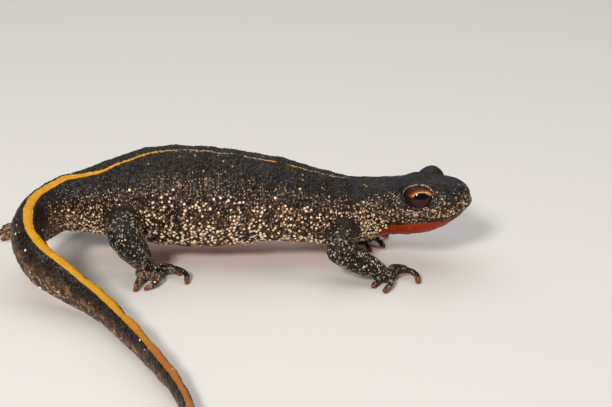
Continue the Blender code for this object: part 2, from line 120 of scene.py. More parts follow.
def search_tree(points: Array) -> KDTree:
    """Sort points so that neighbours are found quickly.

    Args:
        points: The points.

    Returns:
        The tree, which knows each point by its place in the list.
    """
    tree = KDTree(len(points))
    for i, point in enumerate(points):
        tree.insert(point, i)
    tree.balance()
    return tree


def nearest(points: Array, targets: Array) -> tuple[Array, Array]:
    """Find the closest target of each point.

    Args:
        points: The points to look from.
        targets: The points to look for.

    Returns:
        The index of each point's target and the distance to it.
    """
    tree = search_tree(targets)
    found = [tree.find(point)[1:] for point in points]
    return np.array([index for index, _ in found]), np.array([gap for _, gap in found])


class Track:
    """A smooth curve through rows of values, with slopes taken from the neighbours."""

    def __init__(self, places: Sequence[float], values: Sequence) -> None:
        """Fit the curve.

        Args:
            places: Where along the curve each row lies, rising.
            values: One row of numbers for each place.
        """
        self.places = np.asarray(places, float)
        self.values = np.asarray(values, float).reshape(len(self.places), -1)
        steps = np.diff(self.places)[:, None]
        slopes = np.diff(self.values, axis=0) / steps
        self.slopes = np.empty_like(self.values)
        self.slopes[0] = slopes[0]
        self.slopes[-1] = slopes[-1]
        weight = steps[1:] / (steps[:-1] + steps[1:])
        self.slopes[1:-1] = slopes[:-1] * weight + slopes[1:] * (1 - weight)

    def at(self, places: Array) -> Array:
        """Read the curve.

        Args:
            places: Where to read it.

        Returns:
            One row of values for each place.
        """
        places = np.atleast_1d(np.asarray(places, float))
        last = len(self.places) - 2
        i = np.clip(np.searchsorted(self.places, places, "right") - 1, 0, last)
        step = (self.places[i + 1] - self.places[i])[:, None]
        t = (places - self.places[i])[:, None] / step
        return (
            (2 * t**3 - 3 * t**2 + 1) * self.values[i]
            + (t**3 - 2 * t**2 + t) * step * self.slopes[i]
            + (3 * t**2 - 2 * t**3) * self.values[i + 1]
            + (t**3 - t**2) * step * self.slopes[i + 1]
        )

    def rates(self, places: Array, reach: float = 0.02) -> Array:
        """Read how fast the curve changes at some places."""
        places = np.atleast_1d(np.asarray(places, float))
        return (self.at(places + reach) - self.at(places - reach)) / (2 * reach)


class Ripple:
    """A soft seeded unevenness in space, the sum of waves that run in random directions."""

    def __init__(self, seed: int, wavelength: float, waves: int = 18) -> None:
        """Choose the waves.

        Args:
            seed: The seed of the random choice.
            wavelength: The middle distance between crests, in millimetres.
            waves: How many waves are added.
        """
        dice = np.random.default_rng(seed)
        lengths = wavelength * dice.uniform(0.7, 1.5, waves)
        self.directions = unit(dice.normal(size=(waves, 3))) * (2 * math.pi / lengths)[:, None]
        self.phases = dice.uniform(0, 2 * math.pi, waves)
        self.strength = 1.4 / math.sqrt(waves) / 2

    def at(self, points: Array) -> Array:
        """Read the unevenness at points, about -1 to 1."""
        return np.sin(points @ self.directions.T + self.phases).sum(axis=1) * self.strength


@dataclass
class Shell:
    """Closed surfaces of rings, gathered before they become one mesh."""

    points: list[Array] = field(default_factory=list)
    faces: list[tuple[int, ...]] = field(default_factory=list)
    count: int = 0

    def add_rings(self, rings: Array) -> None:
        """Add a closed loft over rings of points, with a fan of faces over each end.

        Args:
            rings: The points, as rings by sides by 3.
        """
        rows, sides, _ = rings.shape
        first = self.count
        self.points += [rings.reshape(-1, 3), rings[[0, -1]].mean(axis=1)]
        self.count += rows * sides + 2
        near, far = self.count - 2, self.count - 1
        turn = [(k, (k + 1) % sides) for k in range(sides)]
        for r in range(rows - 1):
            row, after = first + r * sides, first + (r + 1) * sides
            self.faces += [(row + k, row + n, after + n, after + k) for k, n in turn]
        end = first + (rows - 1) * sides
        self.faces += [(first + n, first + k, near) for k, n in turn]
        self.faces += [(end + k, end + n, far) for k, n in turn]

    def add_ball(self, centre: Array, axes: Array, sides: int = 24) -> None:
        """Add an ellipsoid.

        Args:
            centre: Its centre.
            axes: Its three half axes, one a row.
            sides: How many sides it has round its third axis.
        """
        polar = np.linspace(POLE_GAP, math.pi - POLE_GAP, sides // 2)
        turn = full_turn(sides)
        out = np.sin(polar)[:, None]
        grid = np.stack([
            out * np.cos(turn),
            out * np.sin(turn),
            np.cos(polar)[:, None] + 0 * turn,
        ], axis=-1)
        self.add_rings(centre + grid @ axes)

    def to_object(self, name: str) -> bpy.types.Object:
        """Make an object of all the surfaces.

        Args:
            name: Its name.

        Returns:
            The object, still in millimetres.
        """
        mesh = bpy.data.meshes.new(name)
        mesh.from_pydata(np.concatenate(self.points).tolist(), [], self.faces)
        return add_object(name, mesh)


def add_object(name: str, data: bpy.types.ID) -> bpy.types.Object:
    """Put a new object into the scene.

    Args:
        name: Its name.
        data: Its mesh, camera or light.

    Returns:
        The object.
    """
    thing = bpy.data.objects.new(name, data)
    bpy.context.scene.collection.objects.link(thing)
    return thing


def with_modifier(thing: bpy.types.Object, kind: str, **settings: object) -> None:
    """Put a modifier on an object and apply it at once.

    Args:
        thing: The object, whose mesh is replaced.
        kind: The modifier's type.
        settings: The modifier's properties.
    """
    step = thing.modifiers.new("step", kind)
    for name, value in settings.items():
        setattr(step, name, value)
    graph = bpy.context.evaluated_depsgraph_get()
    result = bpy.data.meshes.new_from_object(thing.evaluated_get(graph))
    thing.modifiers.clear()
    old = thing.data
    thing.data = result
    bpy.data.meshes.remove(old)


def read_array(items: object, name: str, width: int, kind: type = np.float32) -> Array:
    """Copy one property of all vertices, edges or values of a mesh.

    Args:
        items: What has the property.
        name: The property.
        width: How many numbers it holds.
        kind: What numbers they are.

    Returns:
        The numbers, one row for each item.
    """
    values = np.empty(len(items) * width, kind)
    items.foreach_get(name, values)
    return values.reshape(-1, width)


def read_points(mesh: bpy.types.Mesh) -> Array:
    """Copy a mesh's vertices into an array of points."""
    return read_array(mesh.vertices, "co", 3, float)


def write_points(mesh: bpy.types.Mesh, points: Array) -> None:
    """Move a mesh's vertices to an array of points."""
    mesh.vertices.foreach_set("co", points.astype(np.float32).ravel())
    mesh.update()


def read_field(mesh: bpy.types.Mesh, name: str) -> Array:
    """Copy one number for each vertex out of a mesh."""
    return read_array(mesh.attributes[name].data, "value", 1)[:, 0].astype(float)


def write_field(mesh: bpy.types.Mesh, name: str, values: Array) -> None:
    """Store one number for each vertex of a mesh, for its material or a later step."""
    layer = mesh.attributes.get(name) or mesh.attributes.new(name, "FLOAT", "POINT")
    layer.data.foreach_set("value", values.astype(np.float32))


def relax(points: Array, edges: Array, weight: Array, rounds: int) -> Array:
    """Draw vertices toward the middle of their neighbours.

    Args:
        points: The vertices.
        edges: Pairs of vertices.
        weight: How strongly each vertex moves, 0 to 1.
        rounds: How many times they move.

    Returns:
        The moved vertices.
    """
    count = len(points)
    start = np.concatenate([edges[:, 0], edges[:, 1]])
    stop = np.concatenate([edges[:, 1], edges[:, 0]])
    degree = np.maximum(np.bincount(start, minlength=count), 1)[:, None]
    pull = (weight * 0.5)[:, None]
    for _ in range(rounds):
        total = np.stack([np.bincount(start, points[stop, k], count) for k in range(3)], axis=1)
        points = points + pull * (total / degree - points)
    return points


def scatter(points: Array, spacing: float, seed: int) -> Array:
    """Choose points that lie about evenly apart.

    Args:
        points: The points to choose from.
        spacing: The least distance that most of them keep.
        seed: The seed of the random choice.

    Returns:
        The indices of the chosen points.
    """
    dice = np.random.default_rng(seed)
    order = dice.permutation(len(points))
    cells = np.floor(points[order] / spacing).astype(np.int64)
    _, first = np.unique(np.bitwise_xor.reduce(cells * CELL_KEYS, axis=1), return_index=True)
    chosen = order[first]
    dice.shuffle(chosen)
    tree = search_tree(points[chosen])
    kept = np.ones(len(chosen), bool)
    for i, index in enumerate(chosen):
        if kept[i]:
            for _, other, _ in tree.find_range(points[index], spacing * CLOSEST):
                kept[other] &= other <= i
    return chosen[kept]


class Station(NamedTuple):
    """A cross-section of body or tail: a point of the back line and the sizes under it."""

    crest: tuple[float, float, float]
    half_width: float
    half_height: float
    lean: float = 0.0  # degrees that its top leans to the right
    edge: float = 2.0  # 2 for an ellipse, more for squarer sides


class Frames(NamedTuple):
    """Cross-sections at many places of the trunk's line."""

    centre: Array
    heading: Array
    across: Array
    height: Array
    half_width: Array
    half_height: Array
    edge: Array


class TrunkSpot(NamedTuple):
    """Where points lie against the trunk."""

    place: Array  # along the stations
    side: Array  # -1 to 1 over the width, positive on the animal's left
    rise: Array  # -1 at the belly to 1 at the back line
    crest: Array  # millimetres from the back line, round the section
    keel: Array  # millimetres from the lower midline


@dataclass
class Trunk:
    """Neck, torso and tail, from inside the head to the tip of the tail."""

    stations: tuple[Station, ...] = (
        Station((17.2, -1.6, 15.0), 5.9, 4.8, 0.0, 2.2),
        Station((14.9, -0.8, 14.75), 6.0, 4.85, 0.0, 2.2),
        Station((9.6, 0.0, 14.3), 6.5, 5.5),
        Station((5.8, 0.0, 14.65), 7.1, 6.0),
        Station((1.0, 0.0, 16.0), 7.7, 6.5),
        Station((-5.0, 0.0, 17.8), 8.2, 7.2),
        Station((-11.8, 0.0, 19.15), 8.7, 8.2),
        Station((-18.9, 0.0, 20.0), 8.8, 8.85),
        Station((-26.0, -0.3, 19.95), 8.5, 8.65, 3.0),
        Station((-32.4, -1.8, 18.4), 7.0, 7.35, 9.0),
        Station((-35.9, -2.7, 17.2), 5.7, 6.3, 13.0, 1.95),
        Station((-39.2, -3.5, 16.5), 4.6, 5.85, 17.0, 1.85),
        Station((-42.3, -4.4, 15.9), 3.9, 5.5, 18.0, 1.75),
        Station((-45.2, -6.6, 14.9), 3.3, 5.1, 11.0, 1.7),
        Station((-46.4, -9.4, 14.0), 3.0, 4.85, 7.0, 1.65),
        Station((-46.3, -12.4, 13.0), 2.8, 4.6, 4.0, 1.65),
        Station((-45.2, -15.6, 11.7), 2.6, 4.3, 3.0, 1.6),
        Station((-43.2, -18.1, 10.2), 2.4, 3.95, 2.0, 1.6),
        Station((-40.2, -20.4, 8.8), 2.15, 3.55, 1.0, 1.6),
        Station((-36.4, -22.9, 7.0), 1.95, 3.2, 0.0, 1.6),
        Station((-32.4, -26.3, 5.7), 1.7, 2.8, 0.0, 1.6),
        Station((-28.4, -31.4, 4.9), 1.45, 2.5, 0.0, 1.6),
        Station((-24.5, -37.0, 4.4), 1.3, 2.28, 0.0, 1.6),
        Station((-20.9, -43.0, 3.9), 1.1, 2.03, 0.0, 1.6),
        Station((-17.5, -49.0, 3.4), 0.95, 1.77, 0.0, 1.6),
        Station((-15.3, -55.0, 2.9), 0.8, 1.5, 0.0, 1.6),
        Station((-14.6, -58.4, 2.2), 0.65, 1.12, 0.0, 1.7),
    )
    sides: int = 72
    ring_spacing: float = 0.12  # in stations
    tip_length: float = 1.3
    line_samples: int = 900  # places along the line that points are matched to
    run_samples: int = 600  # and that its length is measured at
    groove_from: float = 2.7  # stations between which the ribs' grooves run
    groove_to: float = 8.6
    groove_spacing: float = 3.1
    groove_depth: float = 0.2
    groove_width: float = 0.42
    groove_slant: float = 0.9  # how far a groove bends toward the head on the flank
    tail_groove: float = 0.4  # how deep the tail's grooves are beside the ribs'
    stripe_aside: float = 0.85  # how far to the right the trunk's stripe runs

    def __post_init__(self) -> None:
        """Fit the centre line and its sizes through the stations."""
        crests = np.array([station.crest for station in self.stations])
        rows = []
        for i, station in enumerate(self.stations):
            ahead = crests[min(i + 1, len(crests) - 1)] - crests[max(i - 1, 0)]
            left = unit(np.cross(ahead, UP))
            lean = math.radians(station.lean)
            down = -UP * math.cos(lean) + left * math.sin(lean)
            centre = crests[i] + down * station.half_height
            rows.append((*centre, station.half_width, station.half_height, lean, station.edge))
        self.track = Track(range(len(rows)), rows)
        self.last = len(rows) - 1

    def frames(self, places: Array) -> Frames:
        """Work out cross-sections.

        Args:
            places: Where they lie along the stations.

        Returns:
            Their centres, directions and sizes.
        """
        values = self.track.at(places)
        heading = unit(self.track.rates(places)[:, :3])
        left = unit(np.cross(heading, UP))
        up = unit(np.cross(left, heading))
        lean = values[:, 5:6]
        across = left * np.cos(lean) + up * np.sin(lean)
        height = up * np.cos(lean) - left * np.sin(lean)
        return Frames(values[:, :3], heading, across, height, *values[:, [3, 4, 6]].T)

    def rings(self) -> Array:
        """Lay out the rings of points of the whole trunk.

        Returns:
            The points, as rings by sides by 3, closed to a blunt tip.
        """
        places = np.arange(0.0, self.last + 0.01, self.ring_spacing)
        places[-1] = self.last
        f = self.frames(places)
        angle = full_turn(self.sides)
        power = (2.0 / f.edge)[:, None]
        u = signed_power(np.cos(angle)[None], power) * f.half_width[:, None]
        w = signed_power(np.sin(angle)[None], power) * f.half_height[:, None]
        rings = f.centre[:, None] + u[..., None] * f.across[:, None]
        rings = rings + w[..., None] * f.height[:, None]
        turn = np.linspace(0, math.pi / 2, 7)[1:-1, None, None]
        tip = f.centre[-1] + f.heading[-1] * self.tip_length * np.sin(turn)
        tips = tip + (rings[-1] - f.centre[-1]) * np.cos(turn)
        return np.concatenate([rings, tips])

    def locate(self, points: Array) -> tuple[TrunkSpot, Array]:
        """Find where points lie against the trunk's line and surface.

        Args:
            points: The points.

        Returns:
            Their spots, and how many millimetres outside the plain surface they are.
        """
        places = np.linspace(0.0, self.last, self.line_samples)
        line = self.track.at(places)[:, :3]
        index, _ = nearest(points, line)
        offset = points - line[index]
        rate = self.track.rates(places)[index, :3]
        shift = dots(offset, rate) / dots(rate, rate)
        place = np.clip(places[index] + shift, 0.0, self.last)
        f = self.frames(place)
        offset = points - f.centre
        u, w = dots(offset, f.across), dots(offset, f.height)
        side, rise = u / f.half_width, w / f.half_height
        reach = (np.abs(side) ** f.edge + np.abs(rise) ** f.edge) ** (1 / f.edge)
        past = dots(offset, f.heading)
        depth = np.hypot(u, w) * (1 - 1 / np.maximum(reach, 0.05))
        depth = np.where(np.abs(past) > 0.4, np.hypot(np.maximum(depth, 0), past), depth)
        aside = self.stripe_aside * ease(2.5, 4.5, place) * ease(11.5, 9.5, place)
        crest = np.hypot(u + aside, f.half_height - w)
        keel = np.hypot(u, f.half_height + w)
        return TrunkSpot(place, side, rise, crest, keel), depth

    def folds(self, spot: TrunkSpot) -> Array:
        """Press the grooves between the ribs and the bands of the tail's muscles.

        Args:
            spot: Where the vertices lie.

        Returns:
            Millimetres along the normals, negative in a groove.
        """
        places = np.linspace(0.0, self.last, self.run_samples)
        steps = np.linalg.norm(np.diff(self.track.at(places)[:, :3], axis=0), axis=1)
        run = np.interp(spot.place, places, np.concatenate([[0.0], np.cumsum(steps)]))
        bent = run + self.groove_slant * np.abs(spot.side)
        part = np.abs((bent / self.groove_spacing) % 1.0 - 0.5) * self.groove_spacing
        groove = bell(part / self.groove_width) - 0.25
        trunk = ease(self.groove_from, self.groove_from + 0.6, spot.place)
        trunk *= ease(self.groove_to, self.groove_to - 0.8, spot.place)
        tail = self.tail_groove * ease(11.0, 12.5, spot.place) * ease(24.0, 20.0, spot.place)
        flank = ease(0.95, 0.6, np.abs(spot.rise))
        return -self.groove_depth * groove * flank * (trunk + tail)


class HeadRing(NamedTuple):
    """A cross-section of the head before the snout is rounded off, from the head's axis."""

    along: float
    half_width: float
    top: float
    bottom: float
    cheek: float  # level of the widest line
    lip: float  # level of the mouth line


class Swell(NamedTuple):
    """A soft rise on both sides of the head."""

    centre: tuple[float, float, float]
    size: tuple[float, float, float]
    height: float


@dataclass
class Head:
    """The head, with its own axes: along to the snout, across to its left, and up."""

    back: tuple[float, float, float] = (14.9, -0.8, 9.9)
    yaw: float = -22.0  # its turn in degrees
    pitch: float = 11.0
    roll: float = 0.3
    length: float = 14.6
    snout_round: float = 4.0
    snout_blunt: float = 2.6
    squareness: tuple[float, float] = (0.84, 0.92)
    fullness: float = 0.44
    sides: int = 96
    mouth_corner: float = 4.3
    mouth_depth: float = 0.26
    mouth_width: float = 0.13
    nostril: tuple[float, float, float] = (13.95, 2.0, 1.95)
    nostril_radius: float = 0.38
    nostril_depth: float = 0.55
    nostril_ring: tuple[float, float, float] = (0.65, 0.2, 0.09)  # radius, width and height
    swells: tuple[Swell, ...] = (
        Swell((3.2, 5.2, 1.4), (3.0, 2.0, 2.2), 0.3),  # cheek
        Swell((4.6, 3.2, 4.3), (3.0, 2.0, 2.0), 0.4),  # brow
    )
    upper_lip: float = 0.17  # how far the lips stand out
    lower_lip: float = 0.12
    throat_fold: float = -0.7  # where the fold across the throat lies
    throat_along: tuple[float, ...] = (-1.0, 0.0, 2.0, 5.5, 9.0, 11.0, 12.2, 13.4)
    throat_drop: tuple[float, ...] = (2.6, 1.8, 1.25, 0.95, 0.7, 0.8, 1.3, 3.0)  # below the lip
    sections: tuple[HeadRing, ...] = (
        HeadRing(-2.6, 5.2, 4.2, -4.2, -0.9, -0.4),
        HeadRing(0.0, 5.8, 4.75, -4.7, -0.9, -0.4),
        HeadRing(2.2, 6.15, 4.9, -4.8, -0.9, -0.4),
        HeadRing(4.6, 6.25, 4.95, -4.7, -0.9, -0.5),
        HeadRing(7.3, 5.95, 4.9, -4.45, -0.9, -0.75),
        HeadRing(9.6, 5.35, 4.65, -3.8, -0.8, -1.0),
        HeadRing(11.6, 4.65, 4.3, -2.75, -0.4, -1.15),
        HeadRing(13.2, 3.9, 4.0, -2.1, 0.1, -0.95),
        HeadRing(14.6, 3.3, 3.9, -1.6, 0.5, -0.6),
    )

    def __post_init__(self) -> None:
        """Fit the tracks of sizes and work out the head's turn."""
        self.track = Track([s.along for s in self.sections], [s[1:] for s in self.sections])
        turn = turned(self.yaw, "Z") @ turned(-self.pitch, "Y") @ turned(self.roll, "X")
        self.turn = np.array(turn)

    def to_world(self, points: Array) -> Array:
        """Carry points from the head's axes to the animal's."""
        return np.asarray(self.back) + points @ self.turn.T

    def to_head(self, points: Array) -> Array:
        """Carry points from the animal's axes to the head's."""
        return (points - np.asarray(self.back)) @ self.turn

    def closing(self, along: Array) -> Array:
        """Read how wide the rounded snout still is at places along the head."""
        past = np.maximum(0.0, along - (self.length - self.snout_round)) / self.snout_round
        return np.maximum(0.0, 1.0 - past**self.snout_blunt) ** (1 / self.snout_blunt)

    def rings(self) -> Array:
        """Lay out the rings of points of the head.

        Returns:
            The points, as rings by sides by 3.
        """
        straight = self.length - self.snout_round
        front = straight + self.snout_round * np.sin(np.linspace(0, math.pi / 2, 16))[1:-1]
        along = np.concatenate([np.linspace(self.sections[0].along, straight, 26), front])
        width, top, bottom, cheek, _ = self.track.at(along).T[:, :, None]
        close = self.closing(along)[:, None]
        angle = full_turn(self.sides)[None]
        u = signed_power(np.cos(angle), self.squareness[0]) * width * close
        reach = np.where(np.sin(angle) > 0, top - cheek, cheek - bottom) * close
        w = cheek + signed_power(np.sin(angle), self.squareness[1]) * reach
        local = np.stack([along[:, None] + 0 * u, u, w], axis=-1)
        return self.to_world(local)

    def depth(self, local: Array) -> Array:
        """Work out how far outside the plain head points lie.

        Args:
            local: The points in the head's own axes.

        Returns:
            The distances in millimetres.
        """
        along = np.clip(local[:, 0], self.sections[0].along, self.length)
        width, top, bottom, cheek, _ = self.track.at(along).T
        close = np.maximum(self.closing(along), 0.05)
        level = local[:, 2] - cheek
        u = np.abs(local[:, 1]) / (width * close)
        w = np.abs(level) / (np.where(level > 0, top - cheek, cheek - bottom) * close)
        reach = (u ** (2 / self.squareness[0]) + w ** (2 / self.squareness[1])) ** self.fullness
        inside = np.hypot(local[:, 1], level) * (1 - 1 / np.maximum(reach, 0.05))
        past = local[:, 0] - along
        return np.where(np.abs(past) > 0.3, np.hypot(np.maximum(inside, 0), past), inside)

    def lip_gap(self, local: Array) -> Array:
        """Read how far above the mouth line points lie."""
        lip = self.track.at(np.clip(local[:, 0], 0, self.length))[:, 4]
        return local[:, 2] - lip

    def folds(self, local: Array) -> tuple[Array, Array]:
        """Shape the lips, mouth line, nostrils, cheeks and the fold across the throat.

        Args:
            local: The vertices in the head's own axes.

        Returns:
            Millimetres along the normals, and how deep each vertex lies in the mouth slit and the
            nostril pits, 0 to 1, for painted shade.
        """
        gap = self.lip_gap(local)
        mouth = ease(self.mouth_corner - 0.2, self.mouth_corner + 1.0, local[:, 0])
        slit = mouth * bell(gap / self.mouth_width)
        upper = self.upper_lip * ease(0.02, 0.3, gap) * ease(1.5, 0.4, gap)
        lower = -self.lower_lip * ease(0.0, -0.25, gap) * ease(-1.4, -0.4, gap)
        moved = mouth * (upper + lower) - self.mouth_depth * slit
        mirrored = local.copy()
        mirrored[:, 1] = np.abs(local[:, 1])
        pit = np.linalg.norm(mirrored - np.asarray(self.nostril), axis=1)
        radius, width, height = self.nostril_ring
        hole = bell(pit / self.nostril_radius)
        moved += height * bell((pit - radius) / width) - self.nostril_depth * hole
        for swell in self.swells:
            away = np.linalg.norm((mirrored - np.asarray(swell.centre)) / swell.size, axis=1)
            moved += swell.height * ease(1.0, 0.0, away)
        fold = local[:, 0] - self.throat_fold + 0.25 * local[:, 2]
        dip = 0.34 * bell(fold / 0.3) - 0.12 * bell(fold / 0.9)
        moved -= ease(1.2, -1.0, local[:, 2]) * dip
        return moved, np.maximum(slit, hole)


class Reach(NamedTuple):
    """Points along a limb with the thickness there, and how far out each lies."""

    points: Array
    radii: Array
    out: Array  # 0 at the root, 1 at the wrist, 2 at a tip


def tube_line(points: Sequence, radii: Sequence[float], first: float, last: float) -> Reach:
    """Sample a rounded tube's line.

    Args:
        points: The points that it passes.
        radii: Thicknesses, spread evenly over its length.
        first: How far out its start lies.
        last: How far out its end lies.

    Returns:
        The samples, from start to end.
    """
    rows = np.asarray(points, float)
    places = np.concatenate([[0.0], np.cumsum(np.linalg.norm(np.diff(rows, axis=0), axis=1))])
    count = max(6, round(places[-1] / TUBE_STEP))
    spots = np.linspace(0, places[-1], count)
    thick = Track(np.linspace(0, places[-1], len(radii)), radii).at(spots)[:, 0]
    return Reach(Track(places, rows).at(spots), thick, np.linspace(first, last, count))


def tube_rings(line: Reach, sides: int = 20) -> Array:
    """Lay rings round a tube's line, rounded at both ends.

    Args:
        line: The samples of the line.
        sides: How many points each ring has.

    Returns:
        The points, as rings by sides by 3.
    """
    heading = unit(np.gradient(line.points, axis=0))
    turn = np.linspace(math.pi / 2, 0, 6)[1:-1]
    ends = [(0, -np.sin(a), np.cos(a)) for a in turn]
    spots = ends + [(i, 0.0, 1.0) for i in range(len(line.radii))]
    spots += [(-1, np.sin(a), np.cos(a)) for a in turn[::-1]]
    side = np.array(Vector(heading[0]).orthogonal().normalized())
    angle = full_turn(sides)[:, None]
    rings = []
    for i, ahead, shrink in spots:
        side = unit(side - heading[i] * (side @ heading[i]))
        other = np.cross(heading[i], side)
        centre = line.points[i] + heading[i] * ahead * line.radii[i]
        ring = side * np.cos(angle) + other * np.sin(angle)
        rings.append(centre + ring * line.radii[i] * shrink)
    return np.array(rings)


@dataclass
class Foot:
    """A palm with its toes, each toe a few points from the palm to the tip."""

    palm: tuple[float, float, float]
    palm_size: tuple[float, float, float]
    turn: float
    toes: tuple
    toe_radii: tuple[float, ...] = (0.72, 0.58, 0.52, 0.46)

    def lines(self) -> list[Reach]:
        """Sample the lines of all toes."""
        return [tube_line(toe, self.toe_radii, 1.15, 2.0) for toe in self.toes]


@dataclass
class Limb:
    """One leg from its root in the body to the tips of its toes."""

    root: tuple[float, float, float]
    bend: tuple[float, float, float]
    wrist: tuple[float, float, float]
    radii: tuple[float, ...]
    foot: Foot

    def joints(self) -> list[Array]:
        """List root, bend and wrist with the points halfway between them."""
        root, bend, wrist = (np.asarray(p) for p in (self.root, self.bend, self.wrist))
        return [root, (root + bend) / 2, bend, (bend + wrist) / 2, wrist]

    def heel(self) -> Reach:
        """Sample the line from the wrist into the palm."""
        wrist, palm = np.asarray(self.wrist), np.asarray(self.foot.palm)
        return tube_line((wrist, (wrist + palm) / 2, palm), (self.radii[-1], 1.3, 1.0), 1.0, 1.15)

    def line(self) -> Reach:
        """Sample the line from the root over the bend to the wrist and into the palm."""
        upper = tube_line(self.joints(), self.radii, 0.0, 1.0)
        return Reach(*(np.concatenate(pair) for pair in zip(upper, self.heel())))

    def add_to(self, shell: Shell) -> None:
        """Add the leg's surfaces, from root to toes.

        Args:
            shell: What they are added to.
        """
        joints = self.joints()
        upper = tube_line(joints[:3], self.radii[:3], 0, 0.5)
        lower = tube_line(joints[2:], self.radii[2:], 0.5, 1)
        for line in (upper, lower, self.heel()):
            shell.add_rings(tube_rings(line, 28))
        for line in self.foot.lines():
            shell.add_rings(tube_rings(line))
        turn = np.array(turned(self.foot.turn, "Z")).T
        shell.add_ball(np.asarray(self.foot.palm), np.diag(self.foot.palm_size) @ turn)


ARM_RADII = (2.4, 2.3, 2.15, 2.1, 1.45)
LEG_RADII = (3.3, 3.1, 2.7, 2.45, 1.75)
HAND_SIZE = (2.1, 1.9, 1.1)
FOOT_SIZE = (2.5, 2.1, 1.25)


def newt_limbs() -> list[Limb]:
    """List the four legs with the places of their joints and toes.

    Returns:
        The right arm and leg, and the left arm and leg.
    """
    hand_right = Foot((13.6, -11.0, 1.0), HAND_SIZE, 5.0, (
        ((14.0, -10.0, 1.2), (15.4, -8.3, 1.25), (17.4, -6.9, 0.35)),
        ((14.6, -11.0, 1.2), (17.4, -9.9, 1.35), (18.8, -10.5, 1.0), (19.2, -12.4, 0.35)),
        ((14.0, -12.0, 1.2), (14.4, -13.8, 1.2), (13.3, -15.9, 0.35)),
        ((12.9, -12.1, 1.1), (12.1, -13.1, 1.0), (11.4, -14.0, 0.35)),
    ))
    hand_left = Foot((10.5, 5.2, 1.0), HAND_SIZE, -25.0, (
        ((10.8, 4.4, 1.2), (11.0, 2.6, 1.2), (11.7, 0.5, 0.35)),
        ((11.4, 4.6, 1.2), (12.9, 3.9, 1.3), (14.3, 2.6, 0.35)),
        ((11.5, 5.5, 1.2), (13.6, 6.0, 1.25), (15.2, 7.2, 0.35)),
        ((10.6, 6.2, 1.1), (11.6, 7.8, 1.0), (12.4, 9.4, 0.35)),
    ))
    foot_right = Foot((-27.0, -9.9, 1.05), FOOT_SIZE, 10.0, (
        ((-26.4, -8.9, 1.2), (-25.2, -7.5, 1.1), (-24.1, -6.4, 0.35)),
        ((-25.8, -9.2, 1.3), (-23.6, -8.4, 1.35), (-21.9, -9.2, 0.35)),
        ((-25.8, -9.6, 1.35), (-22.6, -10.0, 1.7), (-20.6, -10.9, 1.2), (-20.4, -12.6, 0.35)),
        ((-26.2, -10.6, 1.2), (-25.2, -12.2, 1.25), (-25.6, -13.9, 0.9), (-27.0, -14.9, 0.35)),
        ((-27.6, -10.9, 1.1), (-28.3, -12.9, 1.1), (-28.7, -15.4, 0.35)),
    ))
    foot_left = Foot((-51.6, 8.9, 1.05), FOOT_SIZE, 175.0, (
        ((-52.0, 8.0, 1.1), (-52.6, 6.3, 1.1), (-53.6, 4.8, 0.35)),
        ((-52.6, 8.2, 1.2), (-54.8, 6.7, 1.3), (-56.6, 5.6, 0.35)),
        ((-53.0, 8.8, 1.3), (-55.9, 8.2, 1.4), (-58.5, 8.0, 0.35)),
        ((-52.8, 9.6, 1.2), (-55.4, 10.3, 1.3), (-57.9, 11.3, 0.35)),
        ((-52.0, 9.9, 1.1), (-53.4, 11.6, 1.1), (-54.9, 13.0, 0.35)),
    ))
    return [
        Limb((6.8, -5.2, 7.8), (5.6, -12.4, 6.1), (12.3, -11.8, 2.3), ARM_RADII, hand_right),
        Limb((-32.0, -4.4, 9.6), (-30.3, -13.2, 8.9), (-28.0, -9.9, 3.0), LEG_RADII, foot_right),
        Limb((6.8, 5.2, 7.8), (3.6, 11.6, 5.6), (9.3, 6.6, 2.3), ARM_RADII, hand_left),
        Limb((-32.0, 4.2, 9.6), (-41.0, 10.6, 6.4), (-50.3, 9.0, 2.5), LEG_RADII, foot_left),
    ]


class Side(Enum):
    """The animal's two sides."""

    LEFT = 1.0
    RIGHT = -1.0


